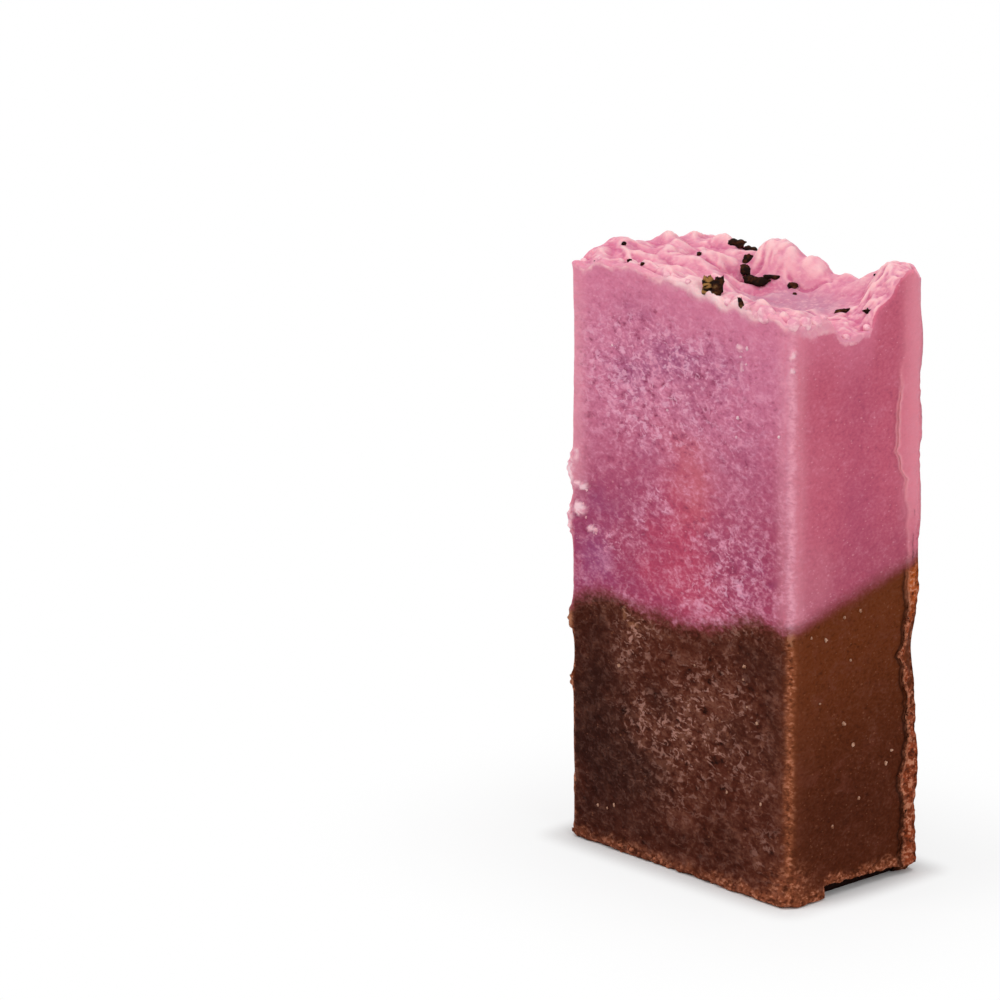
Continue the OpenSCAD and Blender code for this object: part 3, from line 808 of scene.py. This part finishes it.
def marks_of(points):
    """Marks that the soap's material reads at each point."""
    x, y, z = points.T
    cut = on_cut(points)
    from_edge = HALF_W - np.abs(x) + HALF_D - np.abs(y)
    bevel = (x > 0) & (y < 0)
    across = HALF_W - x - HALF_D - y + 0.3 * noise.rough(points, 3, 2)
    past = y - HALF_D + burr_edge(z)
    right = step(HALF_W - 0.3, HALF_W - 0.1, x)
    crisp = burr_crisp(z)
    edge_highlight = bump(np.maximum(0, from_edge - 0.9) / 2.4) * step(50, 58, z)
    bevel_highlight_wings = 0.6 * bump(np.maximum(0, from_edge - EDGE_R) / 1.5)
    return {
        "seam": z - seam_at(x, y) - fields(points, SEAM_SHIFTS) * cut,
        "cut": cut,
        "hue": fields(points, HUES) * cut,
        "salmon": fields(points, SALMON) * cut,
        "bloom": np.clip(fields(points, BLOOMS), 0, 1) * cut,
        "shade": np.clip(fields(points, SHADES), 0, 1) * cut + side_fields(points, SIDE_SHADES),
        # Partly real wear and partly painted highlight: paler along the four upright edges
        "wear_and_highlight": corner_wear_and_highlight(points),
        # Painted highlight: a pale band down the middle of the front right bevel
        "bevel": bump(across / 0.9) * step(3, 1.5, from_edge) * bevel,
        # Painted highlight along the upright edges above about 50 mm and beside the bevel, with the right face's light
        # fields added
        "edge": mix(edge_highlight, bevel_highlight_wings, bevel) + side_fields(points, SIDE_LIGHTS),
        "spot": spots(points),
        "top": np.zeros(len(points)),
        "pool": pool(x, y),
        "cream": bump((y + HALF_D - 0.3) / 1.1) * step(-7, 1, x) * step(17, 12, x),
        "burr": mix(0.6 * step(-1.6, 1.2, past), step(-0.2, 0.05, past), crisp) * right,
        # Painted highlight: a pale line along the ragged edge of the burr's lip
        "lip": bump((past - 0.15) / 0.25) * right * crisp,
        # Painted shadow: dark along the foot of the burr's ragged lip
        "painted_shadow": bump((past + 0.35) / 0.35) * right * crisp,
    }


# Materials


def tone(r, g, b):
    """Linear colour from 0 to 255 display values."""
    def lin(v):
        v /= 255
        return v / 12.92 if v <= 0.04045 else ((v + 0.055) / 1.055) ** 2.4
    return (lin(r), lin(g), lin(b), 1)


class Graph:
    """The nodes of a material or world, added by short calls. Inputs are numbers, colours or other nodes' sockets."""

    def __init__(self, holder):
        holder.use_nodes = True
        self.holder = holder
        self.tree = holder.node_tree
        self.tree.nodes.clear()

    def add(self, kind, inputs, out=0, **settings):
        """A new node with its inputs set or linked. Gives one of its output sockets."""
        node = self.tree.nodes.new("ShaderNode" + kind)
        for key, value in settings.items():
            setattr(node, key, value)
        for key, value in inputs.items():
            if isinstance(value, bpy.types.NodeSocket):
                self.tree.links.new(value, node.inputs[key])
            else:
                node.inputs[key].default_value = value
        return node.outputs[out] if len(node.outputs) else None

    def mark(self, name):
        """A mark of the mesh's points."""
        return self.add("Attribute", {}, "Fac", attribute_name=name)

    def calc(self, operation, a, b=0.0):
        return self.add("Math", {0: a, 1: b}, operation=operation)

    def times(self, a, b):
        return self.calc("MULTIPLY", a, b)

    def total(self, *parts):
        """Sum of values, each with its weight."""
        out = 0.0
        for value, weight in parts:
            out = self.add("Math", {0: value, 1: weight, 2: out}, operation="MULTIPLY_ADD")
        return out

    def ramp(self, value, low, high, start=0.0, end=1.0):
        """Smooth change from start at low to end at high."""
        ends = {"From Min": low, "From Max": high, "To Min": start, "To Max": end}
        return self.add("MapRange", {"Value": value} | ends, interpolation_type="SMOOTHSTEP")

    def blend(self, factor, a, b):
        """From colour a at factor 0 to colour b at factor 1, and no further."""
        return self.add("Mix", {0: factor, 6: a, 7: b}, 2, data_type="RGBA")

    def coat(self, base, *coats):
        """The base colour with coats over it, each a strength, a share of it and a display colour."""
        for value, share, *shade in coats:
            base = self.blend(self.times(value, share), base, tone(*shade))
        return base

    def shades(self, value, low, high, a, b):
        """Display colour a where a value is at low, and b where it is at high."""
        return self.blend(self.ramp(value, low, high), tone(*a), tone(*b))

    def place(self):
        """The object's own coordinates in millimetres, spread as the mottle is."""
        own = self.add("TexCoord", {}, "Object")
        return self.add("VectorMath", {0: own, 1: tuple(s / MM for s in SPREAD)}, operation="MULTIPLY")

    def noise(self, place, size, detail=4.0, rough=0.6, bend=0.0):
        """Noise about 0.5 with forms of one size in millimetres."""
        shape = {"Scale": 1 / size, "Detail": detail, "Roughness": rough, "Distortion": bend}
        return self.add("TexNoise", {"Vector": place} | shape)

    def waves(self, *shape):
        """The same noise about 0."""
        return self.calc("SUBTRACT", self.noise(*shape), 0.5)

    def dots(self, place, spacing, radius, share):
        """Round dots: 1 inside a dot and 0 outside. Share is the part of the places that have one."""
        distance = self.add("TexVoronoi", {"Vector": place, "Scale": 1 / spacing}, "Distance")
        inside = self.ramp(distance, radius / spacing, 0.6 * radius / spacing)
        red = self.add("SeparateColor", {0: distance.node.outputs["Color"]})
        return self.times(inside, self.calc("LESS_THAN", red, share))

    def direct(self):
        """1 for rays from the camera and in reflections, 0 for the light's own rays."""
        camera = self.add("LightPath", {}, "Is Camera Ray")
        path = camera.node.outputs
        return self.calc("MAXIMUM", camera, self.calc("MAXIMUM", path["Is Glossy Ray"], path["Is Transmission Ray"]))

    def finish(self, colour, rough, height, depth, fixed):
        """The finished material: colour, roughness, bumps of a depth in metres and the shader's fixed inputs."""
        normal = self.add("Bump", {"Strength": 1.0, "Distance": depth, "Height": height})
        inputs = {"Base Color": colour, "Roughness": rough, "Normal": normal} | fixed
        self.add("OutputMaterial", {"Surface": self.add("BsdfPrincipled", inputs)})
        return self.holder


def soap_material(name, scatter):
    """Cut soap: pink above the seam and brown below it, mottled, with pale edges that are partly worn and partly
    painted highlight, and painted shadow by the burr's lip and under the right face.
    """
    g = Graph(bpy.data.materials.new(name))
    place = g.place()
    cut, wear_and_highlight, bloom, shade, grain_and_shading, seam, burr, lip, painted_shadow, bevel, edge, spot = map(g.mark, (
        "cut", "wear_and_highlight", "bloom", "shade", "grain_and_shading", "seam", "burr", "lip", "painted_shadow", "bevel", "edge", "spot",
    ))

    broad = g.waves(place, 6.0, 3.0)
    medium = g.waves(place, 2.6, 4.0, 0.6, 0.8)
    small = g.waves(place, 1.15, 4.0, 0.58, 0.8)
    fine = g.waves(place, 0.45, 2.0, 0.5)
    chip = g.noise(place, 1.0, 3.0, 0.6, 0.3)
    web = g.ramp(g.calc("ABSOLUTE", g.waves(place, 1.7, 2.0, 0.55, 0.6)), 0.085, 0.01)
    fleck = g.calc("MAXIMUM", g.ramp(chip, 0.63, 0.7), g.times(web, g.ramp(chip, 0.47, 0.58)))
    speck = g.calc("MAXIMUM", g.dots(place, 1.5, 0.21, 0.35), g.dots(place, 0.85, 0.14, 0.35))
    pit = g.dots(place, 1.9, 0.42, 0.35)
    lumps = g.total((small, 1.0), (fine, 0.8))

    # How light or dark the mottle is, strong on the cut faces and fine on the narrow ones
    coarse = g.total((small, 1.5), (medium, 1.7), (fine, 1.7), (grain_and_shading, 0.35), (pit, -0.5), (web, 0.15))
    coarse = g.times(coarse, g.ramp(bloom, 0.0, 1.0, 1.05, 1.8))
    smooth = g.total((fine, 1.5), (small, 1.3), (medium, 0.9), (grain_and_shading, 0.4))
    mottle = g.total((coarse, cut), (smooth, g.calc("SUBTRACT", 1.0, cut)))
    light = g.times(g.ramp(mottle, -0.1, 1.5), g.ramp(shade, 0.0, 1.0, 1.0, 0.35))
    dark = g.ramp(mottle, 0.1, -1.3)
    flecks = g.times(fleck, g.times(cut, g.ramp(bloom, 0.0, 1.0, 0.15, 1.0)))
    # Paler along the upright edges: partly wear, partly painted highlight
    worn = g.times(wear_and_highlight, g.ramp(mottle, -0.3, 0.35, 0.15, 1.2))
    # Painted highlight down the bevel, broken up by lumps
    shine = g.times(bevel, g.ramp(lumps, -0.2, 0.2, 0.4, 1.1))

    # Pink pour
    hue = g.calc("ADD", g.mark("hue"), broad)
    pink = g.coat(
        g.shades(seam, 5.0, 39.0, (162, 60, 92), (202, 113, 144)),
        (g.ramp(hue, 0.1, 1.1), 1, 186, 68, 96),
        (g.ramp(hue, -0.1, -1.0), 1, 154, 72, 116),
        (g.mark("salmon"), 0.8, 204, 104, 114),
    )
    narrow = g.shades(seam, 0.0, 14.0, (174, 78, 102), (194, 90, 114))
    below = g.total((g.mark("under"), 1.0), (medium, 2.5), (small, 1.2))
    cream = g.times(g.mark("cream"), g.ramp(small, -0.2, 0.1, 0.5, 1.0))
    pink = g.coat(
        g.blend(cut, narrow, pink),
        (bloom, 0.1, 204, 138, 168),
        (shade, 0.6, 142, 54, 96),
        (light, 0.75, 228, 154, 180),
        (dark, 0.85, 138, 50, 82),
        (flecks, 0.6, 232, 174, 198),
        (speck, 0.28, 238, 180, 194),
        # Painted highlight along the upright edges
        (edge, 0.6, 232, 156, 172),
        # Painted highlight down the bevel
        (shine, 0.75, 236, 166, 186),
        (worn, 0.2, 240, 178, 194),
        (burr, 0.65, 230, 132, 150),
        # Painted shadow beside the burr's lip
        (painted_shadow, 0.45, 156, 60, 84),
        # Painted highlight along the burr's lip
        (lip, 0.6, 246, 180, 186),
        # Paler towards the rim, and a painted highlight nearly white on the rim's rounded crest
        (g.ramp(below, 9.0, 0.5), 0.35, 226, 132, 160),
        (g.ramp(below, 1.1, 0.3), 0.8, 242, 182, 192),
        (g.times(cream, g.ramp(below, 2.2, 0.4)), 0.8, 250, 216, 216),
    )
    pink = g.blend(spot, pink, g.shades(small, -0.15, 0.1, (222, 146, 166), (246, 204, 212)))
    roof = g.coat(
        g.shades(broad, -0.15, 0.15, (220, 134, 160), (230, 156, 174)),
        # Painted shade: darker lilac in the pool of the broad hollow
        (g.ramp(g.mark("pool"), 0.45, 0.85), 1, 194, 130, 154),
        # Painted shade in the top's creases and painted highlight on its ridges
        (grain_and_shading, -0.75, 194, 90, 130),
        (grain_and_shading, 0.8, 246, 202, 202),
        (g.total((small, 1.5), (fine, 1.2)), 1, 242, 190, 194),
        (cream, 0.8, 250, 218, 214),
    )
    pink = g.blend(g.mark("top"), pink, roof)

    # Brown pour
    torn = g.calc("MAXIMUM", burr, g.times(wear_and_highlight, 0.8))
    narrow = g.shades(seam, -32.0, -3.0, (78, 31, 10), (102, 46, 16))
    brown = g.coat(
        g.blend(cut, narrow, tone(72, 26, 12)),
        (g.ramp(g.total((broad, 1.0), (medium, 0.7)), 0.0, 0.22), 0.35, 104, 52, 38),
        (shade, 0.9, 40, 10, 3),
        (bloom, 0.15, 116, 66, 52),
        (light, 0.9, 116, 70, 54),
        (dark, 1.1, 32, 6, 2),
        (flecks, g.ramp(shade, 0.0, 1.0, 0.75, 0.3), 180, 132, 118),
        (speck, 0.25, 160, 104, 78),
        # Painted highlight along the upright edges
        (edge, 0.25, 124, 66, 44),
        # Painted highlight down the bevel
        (shine, 0.7, 158, 92, 60),
        (worn, 0.45, 150, 80, 52),
    )
    ragged = g.times(burr, g.ramp(g.total((small, 1.0), (grain_and_shading, 0.2)), -0.2, 0.2, 0.4, 1.1))
    brown = g.coat(
        g.blend(ragged, brown, g.shades(seam, -16.0, 0.0, (146, 66, 36), (178, 84, 34))),
        (g.times(torn, g.ramp(lumps, 0.04, 0.18)), 0.75, 206, 138, 108),
        (g.times(torn, g.ramp(lumps, -0.04, -0.18)), 0.8, 66, 26, 12),
        # Painted highlight along the burr's lip
        (lip, g.ramp(medium, -0.15, 0.1, 0.25, 0.75), 196, 128, 98),
        # Painted shadow beside the burr's lip and in the hollow under the right face
        (painted_shadow, 0.85, 26, 6, 3),
        (spot, 0.85, 176, 118, 88),
    )

    # Seam, ragged on the cut faces and soft on the narrow ones
    rag = g.times(g.total((broad, 3.0), (medium, 2.5), (fine, 2.0)), g.ramp(cut, 0.0, 1.0, 0.4, 1.1))
    above = g.calc("ADD", seam, rag)
    colour = g.coat(brown, (g.ramp(above, -2.4, 0.3), 1, 122, 54, 52))
    colour = g.blend(g.ramp(above, -1.6, 1.9), colour, pink)
    bumps = g.total((small, 0.9), (fine, 0.7))
    return g.finish(colour, g.ramp(mottle, -0.6, 0.8, 0.7, 0.5), bumps, 0.00016, scatter)


# The soap shader's fixed inputs: the pink pour lets more light in than the brown one
PINK_SCATTER = {
    "Subsurface Weight": 0.3, "Subsurface Radius": (1.0, 0.32, 0.3), "Subsurface Scale": 0.0012, "IOR": 1.46,
    "Specular IOR Level": 0.15,
}
BROWN_SCATTER = {
    "Subsurface Weight": 0.1, "Subsurface Radius": (1.0, 0.4, 0.2), "Subsurface Scale": 0.0006, "IOR": 1.46,
    "Specular IOR Level": 0.06,
}


def build_soap():
    """The two pours with their marks."""
    points, faces, extra, grid = build_top_skin()
    marks = marks_of(points) | extra
    marks["top"][grid:] = 1
    # The rim's paler band and painted highlight are left off the back of the right face and reach further down near its
    # front
    steep = step(HALF_W - 0.3, HALF_W - 0.1, points[:, 0]) * step(2, 6, points[:, 1])
    longer_rim_band = step(HALF_W - 1.6, HALF_W - 0.4, points[:, 0]) * bump((points[:, 1] + 8.6) / 3.4)
    marks["under"] = marks["under"] + 6 * steep - 1.5 * longer_rim_band
    rim = step(1.1, 0.2, marks["under"][:grid] + 0.5 * noise.rough(points[:grid], 1.5))
    marks["top"][:grid] = 0.85 * rim
    put_soap("pink_pour", points, faces, marks, "top_layer", "pink_soap", PINK_SCATTER)

    points, faces, extra = build_base_skin()
    marks = marks_of(points) | extra
    marks["under"] = np.full(len(points), 40.0)
    low = step(2.4, 0.9, points[:, 2] - extra["hollow_z"] + 0.9 * noise.rough(points, 1.5))
    crumbly = bump((HALF_W - points[:, 0] + HALF_D + points[:, 1]) / 3.6) * step(8, 2.5, points[:, 2])
    low = np.maximum(low * mix(0.45, 1, np.maximum(step(4, 16, points[:, 0]), 1 - marks["cut"])), crumbly)
    marks["wear_and_highlight"] = np.maximum(marks["wear_and_highlight"], low)
    # The crumbled bottom band also takes the bevel's painted highlight, at a little over half strength
    marks["bevel"] = np.maximum(marks["bevel"], 0.55 * low)
    # Painted shadow: the hollow under the right face is painted nearly black
    marks["painted_shadow"] = np.maximum(marks["painted_shadow"], 1.17 * extra["in_hollow"])
    del marks["hollow_z"], marks["in_hollow"]
    put_soap("brown_pour", points, faces, marks, "base_layer", "brown_soap", BROWN_SCATTER)


def put_soap(name, points, faces, marks, node, slot, scatter):
    piece = make_piece(name, points, faces, marks)
    piece.data.materials.append(soap_material(slot, scatter))
    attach(piece, "root")
    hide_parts(node)


def face_out(x, y, z):
    """How far the slow waves stand out of the walls at one place."""
    return DRAG * math.sin(2 * math.pi * z / DRAG_PITCH + math.radians(9 * x)) * math.cos(math.radians(5 * y))


def ball(around, rings):
    """Points and faces of a ball of radius 1."""
    turn, rise = np.meshgrid(
        np.arange(around) * 2 * math.pi / around, np.linspace(0, math.pi, rings + 2)[1:-1]
    )
    points = stack(np.sin(rise) * np.cos(turn), np.sin(rise) * np.sin(turn), np.cos(rise))
    return np.concatenate([points, [[0, 0, 1], [0, 0, -1]]]), ball_faces(around, rings)


def grain_shape(rng, size):
    """Points and faces of one small rounded crumb."""
    points, faces = ball(10, 7)
    shift = rng.uniform(0, 90, 3)
    points = points * (1 + 0.6 * noise.waves(points * size + shift, 0.45 * size))[:, None]
    return points * rng.uniform(0.75, 1.25, 3) * size / 2, faces


def bead_shape(radius, dimple):
    """Points and faces of a round bead with a dimple towards the front right."""
    points, faces = ball(28, 15)
    hollow = dimple * bump((1 - points[:, 2]) / 0.26)
    points = points * (1 - hollow + 0.1 * noise.rough(points + radius * 50, 0.9, 2))[:, None]
    points = points @ np.array(Matrix.Rotation(math.radians(58), 3, "X") @ Matrix.Rotation(0.2, 3, "Y")).T
    points = points @ np.array(Matrix.Rotation(math.radians(38), 3, "Z")).T
    return points * radius, faces


def ball_faces(around, rings):
    """Faces of a ball of rings of points, whose two end points come last."""
    faces = []
    last = (rings - 1) * around
    end = rings * around
    for k in range(around):
        n = (k + 1) % around
        for ring in range(rings - 1):
            a = ring * around
            faces.append([a + k, a + around + k, a + around + n, a + n])
        faces.append([k, n, end])
        faces.append([last + n, last + k, end + 1])
    return faces


def build_grains():
    """Grains on the faces, beads on the rim and crumbs along the torn edges, a piece for each range of colour."""
    rng = np.random.default_rng(5)
    places = [(x, -HALF_D - face_out(x, -HALF_D, z), z, size) for x, z, size in FRONT_GRAINS]
    places += [(HALF_W + face_out(HALF_W, y, z), y, z, size) for y, z, size in RIGHT_GRAINS]
    above = [p for p in places if p[2] > seam_at(p[0], p[1])]
    below = [p for p in places if p not in above]
    low, high = crumb_places(rng)
    for name, slot, found, colours in (
        ("pink_grains", "pink_soap", above, ((226, 168, 188), (242, 204, 212))),
        ("brown_grains", "brown_soap", below, ((140, 90, 66), (196, 152, 128))),
        ("pink_crumbs", "pink_soap", high, ((222, 148, 166), (242, 186, 196))),
        ("pink_beads", "pink_soap", [], ((228, 154, 174), (246, 194, 202))),
        ("brown_crumbs", "brown_soap", low, ((112, 54, 32), (176, 106, 76))),
    ):
        shapes = [(grain_shape(rng, size), (x, y, z)) for x, y, z, size in found]
        if name == "pink_beads":
            shapes = [(bead_shape(r, dimple), (x, y, top_height(x, y) - 0.12 * r)) for x, y, r, dimple in RIM_BEADS]
        piece = join_shapes(name, shapes)
        g = Graph(bpy.data.materials.new(name))
        patch = g.noise(g.place(), 0.9, 3.0)
        colour = g.shades(patch, 0.38, 0.62, *colours)
        piece.data.materials.append(g.finish(colour, 0.6, patch, 0.00005, {"Specular IOR Level": 0.12}))
        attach(piece, "root")


def join_shapes(name, shapes, marks=None):
    """One piece of several shapes, each points and faces with a place."""
    points, faces = [], []
    count = 0
    for (own, own_faces), place in shapes:
        points.append(own + np.array(place))
        faces += [[i + count for i in f] for f in own_faces]
        count += len(own)
    return make_piece(name, np.concatenate(points), faces, marks)


def flake_shape(rng, length, width, outline, rings=5, around=56):
    """Points and faces of one curled leaf fragment about its middle, with a ragged outline."""
    corner = np.array(OUTLINES[outline] + OUTLINES[outline][:1])
    share = np.linspace(0, len(corner) - 1, around, endpoint=False)
    whole = share.astype(int)
    outline = corner[whole] + (corner[whole + 1] - corner[whole]) * (share - whole)[:, None]
    outline *= 1 + 0.035 * rng.normal(size=(around, 1))
    curl = rng.uniform(0.1, 0.3)
    sheets = []
    for side in (1, -1):
        for ring in range(rings):
            r = 1 - ring / rings
            xy = outline * r * (length, width)
            crown = curl * (1 - r * r) * min(length, width) * 0.5
            rib = 0.08 * bump(xy[:, 1] / (0.12 * width + 0.05))
            flat = noise.waves(np.column_stack([xy, np.full(around, curl * 99)]), 0.5)
            z = crown + rib + side * FLAKE_T / 2 * (0.45 if ring == 0 else 0.85) + 0.07 * flat
            sheets.append(np.column_stack([xy, z]))
        sheets.append(np.array([[0, 0, sheets[-1][:, 2].mean()]]))
    points = np.concatenate(sheets)
    faces = []
    half = rings * around + 1
    for side in (0, 1):
        start = side * half
        for ring in range(rings - 1):
            for k in range(around):
                n = (k + 1) % around
                a = start + ring * around
                quad = [a + k, a + n, a + around + n, a + around + k]
                faces.append(quad if side == 0 else quad[::-1])
        last = start + (rings - 1) * around
        for k in range(around):
            tri = [last + k, last + (k + 1) % around, start + half - 1]
            faces.append(tri if side == 0 else tri[::-1])
    for k in range(around):
        n = (k + 1) % around
        faces.append([k, half + k, half + n, n])
    return points, faces


def build_flakes():
    """The dried leaf flakes pressed in the poured top, as one piece."""
    rng = np.random.default_rng(3)
    shapes, gold = [], []
    for share_x, share_y, length, width, turn, tilt, stand, outline in FLAKES:
        small = 0.8 if max(length, width) < 1.4 else 1.0
        own, own_faces = flake_shape(rng, length * small, width * small, outline)
        x, y = share_x * HALF_W, share_y * HALF_D
        half_height = width * math.sin(math.radians(tilt)) / 2
        z = top_height(x, y) - FLAKE_SINK + stand * half_height
        turned = Matrix.Rotation(math.radians(turn), 3, "Z") @ Matrix.Rotation(math.radians(tilt), 3, "X")
        own = own @ np.array(turned).T
        buried = own[:, 2] < -stand * half_height - 0.4
        own[:, 1] = np.where(buried, np.maximum(own[:, 1], FLAKE_FRONT - y), own[:, 1])
        shapes.append(((own, own_faces), (x, y, z)))
        gold.append(np.full(len(own), 1.0 if outline == "left_lobe" else 0.0))
    piece = join_shapes("leaf_flakes", shapes, {"gold": np.concatenate(gold)})
    g = Graph(bpy.data.materials.new("dried_leaf"))
    place = g.place()
    patch = g.noise(place, 1.1, 3.0, 0.6, 0.5)
    fibre = g.noise(place, 0.25, 5.0, 0.7)
    colour = g.coat(
        g.shades(patch, 0.48, 0.6, (22, 8, 5), (60, 30, 14)),
        (g.ramp(patch, 0.62, 0.7), 0.5, 120, 90, 56),
        (g.mark("gold"), g.ramp(patch, 0.46, 0.54), 156, 112, 64),
        (g.ramp(fibre, 0.5, 0.75), 0.3, 88, 58, 36),
    )
    rough = g.ramp(fibre, 0.3, 0.7, 0.6, 0.85)
    piece.data.materials.append(g.finish(colour, rough, fibre, 0.0001, {"Specular IOR Level": 0.06}))
    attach(piece, "root")
    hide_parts("dried_flakes")


# Camera, light and floor


def towards(azimuth, elevation):
    """Direction from the bar to a viewer, by the angle about the upright axis and the angle above level."""
    return np.array([
        math.sin(azimuth) * math.cos(elevation), -math.cos(azimuth) * math.cos(elevation), math.sin(elevation),
    ])


def add_camera():
    """The photograph's view: distance, place, aim and roll of a long lens."""
    azimuth, elevation, yaw, pitch, roll = (math.radians(a) for a in (45.335, 16.745, 2.129, -0.568, -0.216))
    centre, distance = np.array([0, 0, 0.044]), 1.0
    place = centre + distance * towards(azimuth, elevation)
    back = towards(azimuth + yaw, elevation + pitch)
    right = np.array([math.cos(azimuth + yaw), math.sin(azimuth + yaw), 0])
    up = np.cross(back, right)
    turned_right = math.cos(roll) * right + math.sin(roll) * up
    turned_up = math.cos(roll) * up - math.sin(roll) * right
    data = bpy.data.cameras.new("camera")
    data.sensor_fit = "HORIZONTAL"
    data.sensor_width = 36.0
    data.lens = 245.34
    data.clip_start, data.clip_end = 0.01, 20.0
    camera = add_object("camera", data)
    pose = np.eye(4)
    pose[:3] = np.column_stack([turned_right, turned_up, back, place])
    camera.matrix_world = Matrix(pose.tolist())
    bpy.context.scene.camera = camera


def add_light(name, place, size, power):
    """A square soft light that faces the bar."""
    data = bpy.data.lights.new(name, "AREA")
    data.shape = "SQUARE"
    data.size = size
    data.energy = power
    lamp = add_object(name, data)
    middle = np.array([0, 0, 0.045])
    z = np.array(place) - middle
    z /= np.linalg.norm(z)
    x = np.cross([0, 0, 1.0], z)
    x /= np.linalg.norm(x)
    lamp.location = place
    lamp.rotation_euler = Matrix(np.column_stack([x, np.cross(z, x), z]).tolist()).to_euler()


def add_world(strength):
    """Soft light from all sides, which the camera and reflections see as white."""
    world = bpy.data.worlds.new("studio")
    bpy.context.scene.world = world
    g = Graph(world)
    light = g.add("Background", {"Color": (0.8, 0.8, 0.8, 1), "Strength": strength})
    white = g.add("Background", {"Color": (1, 1, 1, 1)})
    g.add("OutputWorld", {"Surface": g.add("MixShader", {0: g.direct(), 1: light, 2: white})})


def add_floor(half, whiten):
    """A pale floor that keeps the bar's shadow and fades to white away from it."""
    mesh = bpy.data.meshes.new("floor")
    mesh.from_pydata([(-half, -half, 0), (half, -half, 0), (half, half, 0), (-half, half, 0)], [], [(0, 1, 2, 3)])
    floor = add_object("floor", mesh)
    g = Graph(bpy.data.materials.new("pale_floor"))
    past = g.add("VectorMath", {0: g.add("TexCoord", {}, "Object")}, operation="ABSOLUTE")
    past = g.add("VectorMath", {0: past, 1: (HALF_W * MM, HALF_D * MM, 0)}, operation="SUBTRACT")
    past = g.add("VectorMath", {0: past, 1: (0, 0, 0)}, operation="MAXIMUM")
    distance = g.add("VectorMath", {0: past}, "Value", operation="LENGTH")
    fade = g.total((g.ramp(distance, 0.0, 0.006), whiten), (g.ramp(distance, 0.003, 0.045), 1 - whiten))
    plain = g.add("BsdfDiffuse", {"Color": (0.86, 0.86, 0.86, 1)})
    white = g.add("Emission", {"Color": (1, 1, 1, 1)})
    g.add("OutputMaterial", {"Surface": g.add("MixShader", {0: g.times(g.direct(), fade), 1: plain, 2: white})})
    mesh.materials.append(g.holder)


add_camera()
add_world(0.62)
add_light("key", (-0.35, -0.7, 0.75), 0.6, 4.0)
add_light("over", (0.1, 0.1, 1.1), 0.7, 3.0)
add_light("side", (0.9, -0.1, 0.5), 0.6, 2.5)
add_floor(4.0, 0.78)
build_soap()
build_grains()
build_flakes()
bpy.context.scene.view_settings.view_transform = "Standard"
